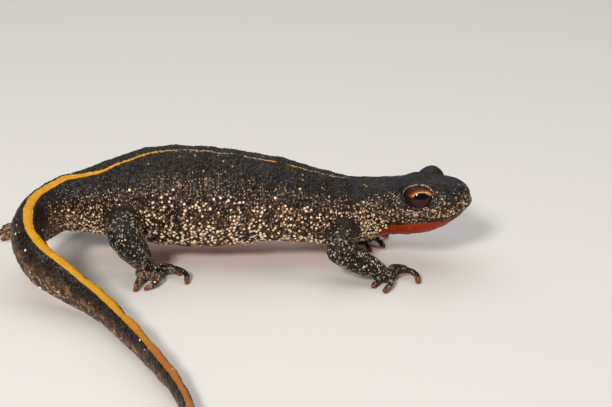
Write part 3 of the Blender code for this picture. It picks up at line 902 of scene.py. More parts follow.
@dataclass
class EyeSocket:
    """The eyeball's place in the head and the lids that close round it."""

    centre: tuple[float, float, float] = (6.95, 4.05, 2.69)
    look: tuple[float, float, float] = (0.2, 0.95, 0.25)
    radius: float = 2.45
    wide: float = 78.0  # half angles of the opening: level,
    above: float = 49.0  # over its middle
    below: float = 50.0  # and under it
    squareness: float = 2.2
    sink: float = 0.35  # how far the skin dips under the eyeball
    edge_lift: float = 0.05
    rim_lift: float = 0.12
    brow_lift: float = 0.06  # what the upper lid adds
    rim_spread: tuple[float, float] = (10.0, 38.0)  # degrees past the edge where it runs out
    rim_reach: tuple[float, float] = (0.6, 1.9)  # or millimetres outside the eyeball
    cover: float = 0.05  # the least skin over the closed part of the ball

    def axes(self) -> Array:
        """Give the eye's own directions.

        Returns:
            Forward, upward and outward, one a row, in the head's axes.
        """
        out = unit(np.array(self.look))
        forward = unit(np.array((1.0, 0.0, 0.0)) - out * out[0])
        return np.array((forward, np.cross(forward, out), out))

    def past_edge(self, toward: Array) -> Array:
        """Measure directions against the lids' opening.

        Args:
            toward: The directions' forward, upward and outward parts.

        Returns:
            Degrees past the lids' edge, negative over the open eye.
        """
        polar = np.degrees(np.arccos(np.clip(toward[:, 2], -1.0, 1.0)))
        flat = np.maximum(np.hypot(toward[:, 0], toward[:, 1]), 1e-6)
        level = np.abs(toward[:, 0]) / flat
        rise = toward[:, 1] / flat
        high = np.where(rise > 0, self.above, self.below)
        power = self.squareness
        edge = ((level / self.wide) ** power + (np.abs(rise) / high) ** power) ** (-1 / power)
        return polar - edge

    def shape_lids(self, local: Array) -> tuple[Array, Array]:
        """Draw the skin over the eyeballs as lids with a thick rim.

        Args:
            local: Vertices of the head in its own axes.

        Returns:
            The vertices' new places, and how near each is to a lid's rim, 0 to 1.
        """
        moved = local.copy()
        rims = np.zeros(len(local))
        for side in Side:
            mirror = np.array((1.0, side.value, 1.0))
            offset = local * mirror - np.asarray(self.centre)
            reach = np.linalg.norm(offset, axis=1)
            toward = offset / reach[:, None] @ self.axes().T
            past = self.past_edge(toward)
            rim = self.radius + self.edge_lift + self.rim_lift * ease(0.0, 9.0, past)
            rim += self.brow_lift * ease(0.0, 0.6, toward[:, 1]) * ease(2, 14, past)
            near, far = self.rim_reach
            out = ease(*self.rim_spread, past)
            out = np.maximum(out, ease(self.radius + near, self.radius + far, reach))
            outer = rim + (reach - rim) * out
            least = self.radius + self.cover
            outer = (outer + least + np.hypot(outer - least, 0.25)) / 2
            inner = self.radius - self.sink
            new = inner + (outer - inner) * ease(-4.0, 0.0, past)
            own = (local[:, 1] * side.value > 0.0) & (reach < self.radius + far)
            new = np.where(own, new, reach)
            moved += offset / reach[:, None] * (new - reach)[:, None] * mirror
            upper = ease(-0.1, 0.25, toward[:, 1])
            rims += own * upper * ease(0, 2, past) * ease(11, 5, past) * (1 - out)
        return moved, np.clip(rims, 0.0, 1.0)


class Detail(NamedTuple):
    """How finely the skin is made."""

    voxel: float  # size of the joined mesh's faces, before halving
    refine_head: bool
    granules: bool


FINE = Detail(0.25, True, True)


class Granules(NamedTuple):
    """A kind of granules: how far apart they stand, how high, and how they are drawn out."""

    spacing: float
    height: float
    stretch: tuple[float, float, float]  # over 1 packs them closer along that axis
    seed: int


class Cover(NamedTuple):
    """The vertices of the lidded skin and what each belongs to, 0 to 1."""

    points: Array
    local: Array  # the points in the head's axes
    gap: Array  # millimetres above the mouth line
    spot: TrunkSpot
    limb: Array
    fore: Array  # a limb below the elbow or knee
    throat: Array  # the bare orange throat
    rims: Array  # a lid's rim


class Blend(NamedTuple):
    """How a join is smoothed: how far round it, where in full, and how many times."""

    far: float
    near: float
    rounds: int


@dataclass(frozen=True)
class PaleShares:
    """The shares of granules, dots and warts that are pale in each region of the body."""

    back: float = 0.02
    flank: float = 0.1
    neck: float = 0.5
    tail_edge: float = 0.01
    tail: float = 0.3
    lip: float = 0.36
    snout: float = 0.16
    cheek: float = 0.12
    chin: float = 0.35
    lids: float = 0.6
    shins: float = 0.2
    torso_dots: float = 0.6
    neck_dots: float = 0.85
    hip_dots: float = 0.9
    face_dots: float = 0.62
    shin_dots: float = 0.45
    flank_warts: float = 0.78
    low_warts: float = 0.36
    low_clumps: float = 0.34
    back_warts: float = 0.012
    limb_warts: float = 0.04


@dataclass
class Skin:
    """The one skin over head, trunk, limbs and tail."""

    trunk: Trunk
    head: Head
    limbs: list[Limb]
    socket: EyeSocket
    detail: Detail = FINE
    floor_skin: float = 0.03  # the soles' and the tail's height over the floor
    coarse: Granules = Granules(0.5, 0.15, (1.3, 1.0, 0.75), 11)
    fine: Granules = Granules(0.38, 0.08, (1.0, 1.0, 1.0), 12)
    facial: Granules = Granules(0.32, 0.06, (1.0, 1.0, 1.0), 13)
    wart_spacing: float = 0.56
    wart_radius: tuple[float, float] = (0.17, 0.29)
    wart_height: float = 0.2
    granule_radius: float = 0.72  # as a share of the spacing
    granule_sizes: tuple[float, float] = (0.7, 1.15)  # how unlike they are in radius,
    granule_heights: tuple[float, float] = (0.6, 1.3)  # in height
    granule_pales: tuple[float, float] = (0.62, 1.0)  # and in paleness
    floor_reach: float = 0.25  # millimetres over the floor that are pressed flat
    evening: float = 0.8  # how strongly the joined mesh is smoothed all over
    evening_rounds: int = 3
    hips: Blend = Blend(2.0, 0.5, 36)  # and where limbs, toes and head join
    webs: Blend = Blend(0.7, 0.2, 8)
    nape: Blend = Blend(1.6, 0.4, 30)
    lumps: Ripple = Ripple(3, 5.0)  # broad unevenness under the granules
    lump_height: float = 0.14
    dents: Ripple = Ripple(4, 1.6)  # and a finer one
    dent_height: float = 0.05
    throat_edge: Ripple = Ripple(5, 1.1)
    wart_clumps: Ripple = Ripple(6, 3.0)
    face_specks: Ripple = Ripple(7, 1.1)
    face_dots: Ripple = Ripple(8, 2.2)
    wart_seed: int = 21
    wart_place_seed: int = 22
    pale: PaleShares = PaleShares()
    island_angle: float = 66.0  # degrees over which the flat layout is cut
    island_gap: float = 0.002

    def build(self) -> bpy.types.Object:
        """Make the skin: join, smooth, unwrap, refine and sculpt it.

        Returns:
            The skin, in metres in the model's frame.
        """
        skin = self.join()
        self.soften(skin)
        self.unwrap(skin)
        self.refine(skin)
        self.sculpt(skin)
        return skin

    def join(self) -> bpy.types.Object:
        """Join every loft into one closed mesh of even faces.

        Returns:
            The joined skin, in millimetres.
        """
        shell = Shell()
        shell.add_rings(self.trunk.rings())
        shell.add_rings(self.head.rings())
        for limb in self.limbs:
            limb.add_to(shell)
        skin = shell.to_object("newt_skin")
        with_modifier(skin, "REMESH", mode="VOXEL", voxel_size=self.detail.voxel)
        return skin

    def read_limbs(self, points: Array) -> tuple[Array, Array, Array]:
        """Find where points lie against the limbs and toes.

        Args:
            points: The points to look from.

        Returns:
            Millimetres outside each limb with its heel, one column a limb, millimetres outside
            each palm or toe, one column each, and how far out the nearest of them lies.
        """
        depths, outs, whole = [], [], []
        for limb in self.limbs:
            foot = limb.foot
            palm = (points - np.asarray(foot.palm)) / np.asarray(foot.palm_size)
            for line in (limb.line(), *foot.lines()):
                index, gap = nearest(points, line.points)
                depths.append(gap - line.radii[index])
                outs.append(line.out[index])
            depths.append((np.linalg.norm(palm, axis=1) - 1) * foot.palm_size[2])
            outs.append(np.full(len(points), 1.15))
            whole += [True] + [False] * (len(foot.toes) + 1)
        depth = np.array(depths).T
        out = np.array(outs).T[np.arange(len(points)), depth.argmin(axis=1)]
        legs = np.array(whole)
        return depth[:, legs], depth[:, ~legs], out

    def soften(self, skin: bpy.types.Object) -> None:
        """Smooth the joins of body, limbs and toes, and note where each vertex lies.

        Args:
            skin: The joined mesh, in millimetres.
        """
        mesh = skin.data
        points = read_points(mesh)
        edges = read_array(mesh.edges, "vertices", 2, np.int32)
        evenly = np.full(len(points), self.evening)
        points = relax(points, edges, evenly, self.evening_rounds)
        spot, outside = self.trunk.locate(points)
        head = self.head.depth(self.head.to_head(points))
        limbs, toes, out = self.read_limbs(points)
        body = np.minimum(outside, head)
        limb = limbs.min(axis=1)
        joins = (
            (self.hips, np.sort(np.abs(np.column_stack([body, limbs])), axis=1)[:, 1]),
            (self.webs, np.sort(np.abs(np.column_stack([limb, toes])), axis=1)[:, 1]),
            (self.nape, np.maximum(np.abs(outside), np.abs(head))),
        )
        for blend, away in joins:
            points = relax(points, edges, ease(blend.far, blend.near, away), blend.rounds)
        write_points(mesh, points)
        for name, values in spot._asdict().items():
            write_field(mesh, name, values)
        write_field(mesh, "head", ease(-0.7, 0.7, outside - head))
        write_field(mesh, "limb", ease(-0.9, 0.9, body - np.minimum(limb, toes.min(axis=1))))
        write_field(mesh, "out", out)

    def unwrap(self, skin: bpy.types.Object) -> None:
        """Lay the smooth skin out flat, in a few islands that its finer faces then share.

        Args:
            skin: The smoothed mesh.
        """
        skin.data.uv_layers.new(name="OFBake")
        bpy.context.view_layer.objects.active = skin
        bpy.ops.object.mode_set(mode="EDIT")
        bpy.ops.mesh.select_all(action="SELECT")
        angle = math.radians(self.island_angle)
        bpy.ops.uv.smart_project(angle_limit=angle, island_margin=self.island_gap)
        bpy.ops.object.mode_set(mode="OBJECT")
        log.info("unwrapped %d faces", len(skin.data.polygons))

    def refine(self, skin: bpy.types.Object) -> None:
        """Halve the faces, and the head's once more.

        Args:
            skin: The smoothed mesh.
        """
        if self.detail.refine_head:
            local = self.head.to_head(read_points(skin.data))
            face = (local[:, 0] > -1.2) & (read_field(skin.data, "limb") < 0.5)
            shape = bmesh.new()
            shape.from_mesh(skin.data)
            shape.verts.ensure_lookup_table()
            chosen = [e for e in shape.edges if face[e.verts[0].index] and face[e.verts[1].index]]
            bmesh.ops.subdivide_edges(shape, edges=chosen, cuts=1, use_grid_fill=True)
            shape.to_mesh(skin.data)
            shape.free()
        with_modifier(skin, "SUBSURF", levels=1, render_levels=1)

    def sculpt(self, skin: bpy.types.Object) -> None:
        """Give the skin its folds, lids, granules and warts, and lay it on the floor.

        Args:
            skin: The refined mesh, which ends up in metres in the model's frame.
        """
        mesh = skin.data
        points = read_points(mesh)
        near_head, limb = read_field(mesh, "head"), read_field(mesh, "limb")
        local = self.head.to_head(points)
        face = ((near_head > 0.01) | (local[:, 0] > -2.0)) & (limb < 0.5)
        lidded, rims = local.copy(), np.zeros(len(points))
        lidded[face], rims[face] = self.socket.shape_lids(local[face])
        write_field(mesh, "rim", rims)
        points = self.head.to_world(lidded)
        write_points(mesh, points)
        normals = read_array(mesh.vertex_normals, "vector", 3).astype(float)
        spot = TrunkSpot(*(read_field(mesh, name) for name in TrunkSpot._fields))
        write_field(mesh, "throat", self.throat_share(points, local) * ease(0.5, 0.3, limb))
        moved = self.trunk.folds(spot) * (1 - limb) * (1 - near_head)
        # how deep each vertex lies in the mouth slit and the nostril pits, which the material
        # darkens as painted shade
        crease_shade = np.zeros(len(points))
        bent, crease_shade[face] = self.head.folds(local[face])
        moved[face] += bent
        write_field(mesh, "crease_shade", crease_shade)
        out = read_field(mesh, "out")
        write_field(mesh, "sole", limb * ease(0.9, 1.25, out) * ease(0.0, -0.7, normals[:, 2]))
        lumps = self.lump_height * self.lumps.at(points)
        moved += lumps * (1 - near_head) * (1 - 0.6 * limb)
        moved += self.dent_height * self.dents.at(points)
        if self.detail.granules:
            local = self.head.to_head(points)
            moved += self.granulate(mesh, Cover(
                points, local, self.head.lip_gap(local), spot, limb, limb * ease(0.1, 0.45, out),
                read_field(mesh, "throat"), read_field(mesh, "rim"),
            ))
        write_points(mesh, (self.press_flat(points + normals * moved[:, None]) - ORIGIN) * MM)
        mesh.shade_smooth()

    def throat_share(self, points: Array, local: Array) -> Array:
        """Read how far vertices belong to the bare orange throat.

        Args:
            points: The vertices.
            local: The vertices in the head's axes.

        Returns:
            Their shares, 0 to 1, with a ragged edge.
        """
        ragged = 0.12 * self.throat_edge.at(points)
        edge = self.head.lip_gap(local) + ragged
        edge += np.interp(local[:, 0], self.head.throat_along, self.head.throat_drop)
        return ease(0.1, -0.12, edge) * ease(-1.4, -0.6, local[:, 0] + ragged)

    def press_flat(self, points: Array) -> Array:
        """Lay the soles and the tail on the floor.

        Args:
            points: The vertices.

        Returns:
            The vertices, with the lowest ones just over the floor.
        """
        reach, low = self.floor_reach, points[:, 2]
        sunk = (reach - self.floor_skin) * np.exp(np.minimum((low - reach) / reach, 0.0))
        sunk += self.floor_skin
        points[:, 2] = np.where(low < reach, np.minimum(sunk, reach), low)
        return points

    def granulate(self, mesh: bpy.types.Mesh, at: Cover) -> Array:
        """Cover the skin with granules and set warts among them.

        Args:
            mesh: The mesh that keeps each vertex's share in a granule and a pale wart.
            at: Its vertices.

        Returns:
            Millimetres along the normals.
        """
        along, body = at.local[:, 0], 1 - at.limb
        face = ease(-2.0, 0.5, along) * body
        small = np.maximum.reduce([
            at.limb, ease(-6.0, -3.0, along) * body, ease(11.5, 13.5, at.spot.place) * body,
            ease(-0.8, -0.95, at.spot.rise) * body,
        ])
        specks = self.speck_density(at)
        dome, speck, height = np.zeros((3, len(at.points)))
        shares = ((self.coarse, 1 - small), (self.fine, small * (1 - face)), (self.facial, face))
        for kind, share in shares:
            dice = np.random.default_rng(kind.seed)
            used = np.flatnonzero(share > 0.02)
            packed = at.points[used] * kind.stretch
            chosen = scatter(packed, kind.spacing, kind.seed)
            index, gap = nearest(packed, packed[chosen])
            size = self.granule_radius * kind.spacing
            size = size * dice.uniform(*self.granule_sizes, len(chosen))[index]
            bump = share[used] * np.sqrt(np.maximum(0.0, 1 - (gap / size) ** 2))
            pale = specks[used[chosen]] > dice.random(len(chosen))
            strength = pale * dice.uniform(*self.granule_pales, len(chosen))
            tall = dice.uniform(*self.granule_heights, len(chosen))
            dome[used] += bump
            speck[used] += bump * strength[index]
            height[used] += kind.height * bump * tall[index]
        write_field(mesh, "granule", dome)
        write_field(mesh, "speck", speck)
        write_field(mesh, "dust", self.dust_density(at))
        lips = ease(0.05, 0.2, at.gap) * ease(2.1, 1.3, at.gap) * face
        write_field(mesh, "lips", lips * ease(1.0, 2.5, along))
        height *= 1 - 0.5 * face * ease(2.8, 4.2, at.local[:, 2])
        return height + self.set_warts(mesh, at)

    def speck_density(self, at: Cover) -> Array:
        """Read how many of the granules are pale.

        Args:
            at: The skin's vertices.

        Returns:
            The share of pale granules at each vertex, 0 to 1.
        """
        along, gap, rise, pale = at.local[:, 0], at.gap, at.spot.rise, self.pale
        on_head = ease(-1.0, 1.0, along)
        flank = pale.back + pale.flank * ease(0.75, 0.0, rise)
        neck = ease(-12.0, -3.0, along) * ease(0.6, -0.1, rise)
        trunk = np.maximum(flank, pale.neck * neck)
        tail = ease(10.5, 12.0, at.spot.place)
        under = pale.tail_edge + pale.tail * ease(0.1, -0.3, rise)
        trunk = trunk * (1 - tail) + tail * under
        lip = ease(0.0, 0.15, gap) * ease(2.4, 1.3, gap)
        snout = ease(8.0, 12.0, along) * ease(5.0, 3.8, gap)
        cheek = ease(7.5, 3.5, along) * ease(4.8, 2.6, gap)
        chin = ease(-0.9, -0.6, gap) * ease(10.0, 5.0, along)
        face = np.maximum.reduce([pale.lip * lip, pale.snout * snout, pale.cheek * cheek])
        face *= 0.72 + 0.5 * self.face_specks.at(at.local)
        face = np.maximum(np.where(gap < 0, pale.chin * chin, face), pale.lids * at.rims)
        body = trunk * (1 - on_head) + face * on_head
        return (body * (1 - at.limb) + pale.shins * at.fore) * (1 - at.throat)

    def dust_density(self, at: Cover) -> Array:
        """Read how many tiny pale dots lie between the granules.

        Args:
            at: The skin's vertices.

        Returns:
            The share of places that hold a dot, 0 to 1, at each vertex.
        """
        along, rise, place, pale = at.local[:, 0], at.spot.rise, at.spot.place, self.pale
        on_head = ease(-1.0, 1.0, along)
        torso = pale.torso_dots * ease(0.95, 0.5, rise)
        neck = pale.neck_dots * ease(-10.0, -3.0, along) * ease(0.9, 0.4, rise)
        hips = pale.hip_dots * ease(8.3, 9.8, place) * ease(0.7, 0.2, rise)
        body = np.maximum.reduce([torso, neck, hips]) * ease(14.5, 12.6, place)
        cheek = ease(-1.1, -0.7, at.gap) * ease(5.0, 3.4, at.gap)
        cheek *= 0.62 + 0.5 * self.face_dots.at(at.local)
        body = body * (1 - on_head) + pale.face_dots * cheek * on_head
        return (body * (1 - at.limb) + pale.shin_dots * at.fore) * (1 - at.throat)

    def set_warts(self, mesh: bpy.types.Mesh, at: Cover) -> Array:
        """Set the cream-tipped warts of flank, neck and tail.

        Args:
            mesh: The mesh that keeps each vertex's share in a pale wart.
            at: Its vertices.

        Returns:
            Millimetres along the normals.
        """
        dice = np.random.default_rng(self.wart_seed)
        centres = scatter(at.points, self.wart_spacing, self.wart_place_seed)
        density = (self.wart_density(at) * (1 - at.throat))[centres]
        centres = centres[dice.random(len(centres)) < density]
        radius = dice.uniform(*self.wart_radius, len(centres)) * (1 - 0.4 * at.limb[centres])
        radius *= 1 + 0.3 * ease(-0.1, -0.5, at.spot.rise[centres])
        radius *= 1 - 0.12 * ease(-12.0, -7.0, at.local[centres, 0])
        pale = np.clip(dice.normal(0.85, 0.2, len(centres)), 0.2, 1.0)
        index, gap = nearest(at.points, at.points[centres])
        part = gap / radius[index]
        bump = np.sqrt(np.maximum(0.0, 1 - (part * 0.9) ** 2))
        write_field(mesh, "wart", ease(1.15, 0.45, part) * pale[index])
        return self.wart_height * bump * radius[index] / self.wart_radius[1]

    def wart_density(self, at: Cover) -> Array:
        """Read how thickly pale warts stand over the skin.

        Args:
            at: The skin's vertices.

        Returns:
            The share of places that hold a wart, 0 to 1, at each vertex.
        """
        along, rise, pale = at.local[:, 0], at.spot.rise, self.pale
        clumps = 0.2 + 0.8 * ease(-0.8, 0.4, self.wart_clumps.at(at.points * (1.0, 1.0, 0.5)))
        flank = pale.flank_warts * ease(0.52, 0.0, rise) * clumps
        low = (pale.low_warts + pale.low_clumps * clumps) * ease(-0.1, -0.5, rise)
        torso = np.maximum(flank, low) * ease(-0.88, -0.66, rise)
        neck = ease(-9.0, -5.0, along) * ease(0.5, -0.1, rise)
        neck *= 0.2 + 0.8 * ease(-0.9, -0.5, rise)
        density = np.maximum(torso, neck) * ease(13.2, 11.4, at.spot.place)
        density += pale.back_warts * ease(0.9, 0.5, rise)
        under = ease(0.6, -0.4, at.gap)
        density *= ease(0.5 + 2.0 * under, -1.0 + 1.0 * under, along)
        return density * (1 - at.limb) + pale.limb_warts * at.limb


class Signal:
    """A shader socket that Python's operators work on, each of them adding a Math node."""

    def __init__(self, graph: "Graph", socket: bpy.types.NodeSocket) -> None:
        """Wrap a socket.

        Args:
            graph: The graph that the socket is in.
            socket: An output socket.
        """
        self.graph = graph
        self.socket = socket

    def __add__(self, other: "Signal | float") -> "Signal":
        """Add."""
        return self.graph.math("ADD", self, other)

    def __radd__(self, other: float) -> "Signal":
        """Add to a number."""
        return self.graph.math("ADD", other, self)

    def __sub__(self, other: "Signal | float") -> "Signal":
        """Subtract."""
        return self.graph.math("SUBTRACT", self, other)

    def __rsub__(self, other: float) -> "Signal":
        """Subtract from a number."""
        return self.graph.math("SUBTRACT", other, self)

    def __mul__(self, other: "Signal | float") -> "Signal":
        """Multiply."""
        return self.graph.math("MULTIPLY", self, other)

    def __rmul__(self, other: float) -> "Signal":
        """Multiply a number."""
        return self.graph.math("MULTIPLY", other, self)

    def between(self, low: float, high: float) -> "Signal":
        """Rise smoothly from 0 at one value to 1 at another.

        Args:
            low: The value that gives 0.
            high: The value that gives 1, below low for a fall.

        Returns:
            A value from 0 to 1.
        """
        node = self.graph.node(
            "ShaderNodeMapRange",
            {"interpolation_type": "SMOOTHSTEP"},
            {"Value": self, "From Min": low, "From Max": high},
        )
        return Signal(self.graph, node.outputs["Result"])

    def either(self, other: "Signal | float") -> "Signal":
        """Take the larger of two values."""
        return self.graph.math("MAXIMUM", self, other)


Tone = tuple[float, float, float]


def tone(red: int, green: int, blue: int) -> Tone:
    """Turn a colour given as 0 to 255 on a screen into the light that a shader mixes."""
    parts = [part / 255 for part in (red, green, blue)]
    return tuple(p / 12.92 if p <= 0.04045 else ((p + 0.055) / 1.055) ** 2.4 for p in parts)


class Graph:
    """The nodes of one material."""

    def __init__(self, name: str) -> None:
        """Start a material with a shader and an output.

        Args:
            name: The material's name.
        """
        self.material = bpy.data.materials.new(name)
        self.material.use_nodes = True
        self.tree = self.material.node_tree
        self.tree.nodes.clear()
        self.shader = self.node("ShaderNodeBsdfPrincipled", {}, {})
        self.node("ShaderNodeOutputMaterial", {}, {"Surface": self.shader.outputs["BSDF"]})

    def node(self, kind: str, settings: dict, sockets: dict) -> bpy.types.Node:
        """Add a node.

        Args:
            kind: The node's type.
            settings: Its own properties, set first; stops are a colour ramp's places and colours.
            sockets: Values or links for its input sockets, by name or number.

        Returns:
            The node.
        """
        node = self.tree.nodes.new(kind)
        for name, value in settings.items():
            if name == "stops":
                self.set_stops(node.color_ramp, value)
            else:
                setattr(node, name, value)
        for key, value in sockets.items():
            self.feed(node.inputs[key], value)
        return node

    def set_stops(self, ramp: bpy.types.ColorRamp, stops: Sequence[tuple[float, Tone]]) -> None:
        """Give a colour ramp its stops.

        Args:
            ramp: The ramp.
            stops: Pairs of a place from 0 to 1 and the colour there.
        """
        while len(ramp.elements) < len(stops):
            ramp.elements.new(1.0)
        for element, (place, colour) in zip(ramp.elements, stops):
            element.position = place
            element.color = (*colour, 1.0)

    def feed(self, socket: bpy.types.NodeSocket, value: object) -> None:
        """Link a socket or set its value.

        Args:
            socket: An input socket.
            value: A signal or an output socket to link, or else a value.
        """
        if isinstance(value, Signal):
            self.tree.links.new(value.socket, socket)
        elif isinstance(value, bpy.types.NodeSocket):
            self.tree.links.new(value, socket)
        elif socket.type == "RGBA":
            socket.default_value = (*value, 1.0)
        else:
            socket.default_value = value

    def math(self, operation: str, *values: "Signal | float") -> Signal:
        """Add a Math node."""
        node = self.node("ShaderNodeMath", {"operation": operation}, dict(enumerate(values)))
        return Signal(self, node.outputs[0])

    def attribute(self, name: str) -> Signal:
        """Read one of the mesh's numbers."""
        node = self.node("ShaderNodeAttribute", {"attribute_name": name}, {})
        return Signal(self, node.outputs["Fac"])

    def spot(self) -> Signal:
        """Read the place on the object, in millimetres."""
        place = self.node("ShaderNodeTexCoord", {}, {}).outputs["Object"]
        return self.vector("SCALE", place, scale=1 / MM)

    def vector(self, operation: str, *values: object, scale: float | None = None) -> Signal:
        """Add a Vector Math node.

        Args:
            operation: What it works out.
            values: The vectors that it takes.
            scale: The number that it takes.

        Returns:
            The vector that it gives.
        """
        sockets = dict(enumerate(values))
        if scale is not None:
            sockets["Scale"] = scale
        node = self.node("ShaderNodeVectorMath", {"operation": operation}, sockets)
        return Signal(self, node.outputs[0])

    def noise(
        self, where: Signal, size: float, detail: float = 3.0, rough: float = 0.55
    ) -> Signal:
        """Add soft noise.

        Args:
            where: The place to read it at, in millimetres.
            size: The size of its patches, in millimetres.
            detail: How many finer layers it has.
            rough: How strong they are.

        Returns:
            Its value, about 0.5 on the whole.
        """
        sockets = {"Vector": where, "Scale": 1 / size, "Detail": detail, "Roughness": rough}
        return Signal(self, self.node("ShaderNodeTexNoise", {}, sockets).outputs["Fac"])

    def warp(self, where: Signal, scale: float, reach: float) -> Signal:
        """Bend places by noise, so that what lies there runs unevenly.

        Args:
            where: The places, in millimetres.
            scale: The noise's scale.
            reach: How far it moves them, in millimetres.

        Returns:
            The bent places.
        """
        noise = self.node("ShaderNodeTexNoise", {}, {"Vector": where, "Scale": scale})
        shift = self.vector("SCALE", noise.outputs["Color"], scale=reach)
        return self.vector("ADD", where, shift)

    def cells(self, where: Signal, size: float) -> Signal:
        """Read how far places lie from the middles of round cells of a size, in sizes."""
        node = self.node("ShaderNodeTexVoronoi", {}, {"Vector": where, "Scale": 1 / size})
        return Signal(self, node.outputs["Distance"])

    def dots(self, where: Signal, size: float, radius: float, share: Signal) -> Signal:
        """Scatter crisp round dots.

        Args:
            where: The place to read them at, in millimetres.
            size: The distance between them, in millimetres.
            radius: A dot's radius, as a share of that distance.
            share: How many places hold a dot, 0 to 1.

        Returns:
            0 outside the dots, up to 1 inside them.
        """
        sockets = {"Vector": where, "Scale": 1 / size, "Randomness": 0.85}
        cell = self.node("ShaderNodeTexVoronoi", {}, sockets)
        parts = self.node("ShaderNodeSeparateColor", {}, {"Color": cell.outputs["Color"]})
        inside = Signal(self, cell.outputs["Distance"]).between(radius, radius * 0.65)
        return inside * (share - Signal(self, parts.outputs["Red"])).between(0.0, 0.3)

    def mix(self, share: "Signal | float", under: object, over: object) -> Signal:
        """Mix two colours, each given or linked."""
        node = self.node("ShaderNodeMix", {"data_type": "RGBA"}, {0: share, 6: under, 7: over})
        return Signal(self, node.outputs[2])

    def ramp(self, value: Signal, stops: Sequence[tuple[float, Tone]]) -> Signal:
        """Turn a value into a colour."""
        node = self.node("ShaderNodeValToRGB", {"stops": stops}, {"Fac": value})
        return Signal(self, node.outputs["Color"])

    def bump(self, *layers: tuple[Signal, float]) -> Signal:
        """Raise the surface in layers.

        Args:
            layers: Pairs of a height from 0 to 1 and the millimetres that 1 stands for.

        Returns:
            The normal over all layers.
        """
        normal = None
        for height, depth in layers:
            sockets = {"Height": height, "Distance": depth * MM, "Strength": 1.0}
            if normal is not None:
                sockets["Normal"] = normal
            normal = Signal(self, self.node("ShaderNodeBump", {}, sockets).outputs["Normal"])
        return normal

    def dress(self, thing: bpy.types.Object, sockets: dict) -> None:
        """Feed the shader and put the material on an object.

        Args:
            thing: The object.
            sockets: Values or links for the shader's sockets, by name.
        """
        for name, value in sockets.items():
            self.feed(self.shader.inputs[name], value)
        thing.data.materials.clear()
        thing.data.materials.append(self.material)


@dataclass(frozen=True)
class HideTones:
    """The colours and the gloss of the newt's moist skin."""

    slate: Tone = tone(29, 26, 24)
    umber: Tone = tone(46, 31, 19)
    # near-black of the blotches, also laid as painted shade between the granules, on the lower
    # flank, in the mouth slit and in the nostril pits
    ink_and_shade: Tone = tone(9, 8, 8)
    # the next two tones are painted highlights: the first on the granules' tops, the second a
    # grey painted sheen on the granules of the head's top
    granule: Tone = tone(80, 62, 46)
    head_top_sheen: Tone = tone(60, 57, 57)
    russet: Tone = tone(92, 52, 34)
    cream: Tone = tone(250, 230, 198)
    gold: Tone = tone(204, 142, 16)
    lemon: Tone = tone(212, 162, 24)
    rust: Tone = tone(150, 66, 22)
    ochre: Tone = tone(166, 98, 34)
    bone: Tone = tone(178, 146, 118)
    belly: Tone = tone(206, 92, 16)
    throat: Tone = tone(142, 38, 0)
    toe: Tone = tone(126, 68, 34)
    tan: Tone = tone(68, 48, 33)
    sand: Tone = tone(128, 98, 70)
    fawn: Tone = tone(208, 170, 138)
    clay: Tone = tone(180, 146, 120)
    honey: Tone = tone(214, 176, 132)
    ash: Tone = tone(188, 172, 154)
    wet_roughness: float = 0.26
    dry_roughness: float = 0.5
    specular: float = 0.15
    coat: float = 0.09
    coat_roughness: float = 0.16
    grain_size: float = 0.17  # the finest relief, in millimetres
    grain_depth: float = 0.02
    pore_size: float = 0.1
    pore_depth: float = 0.012


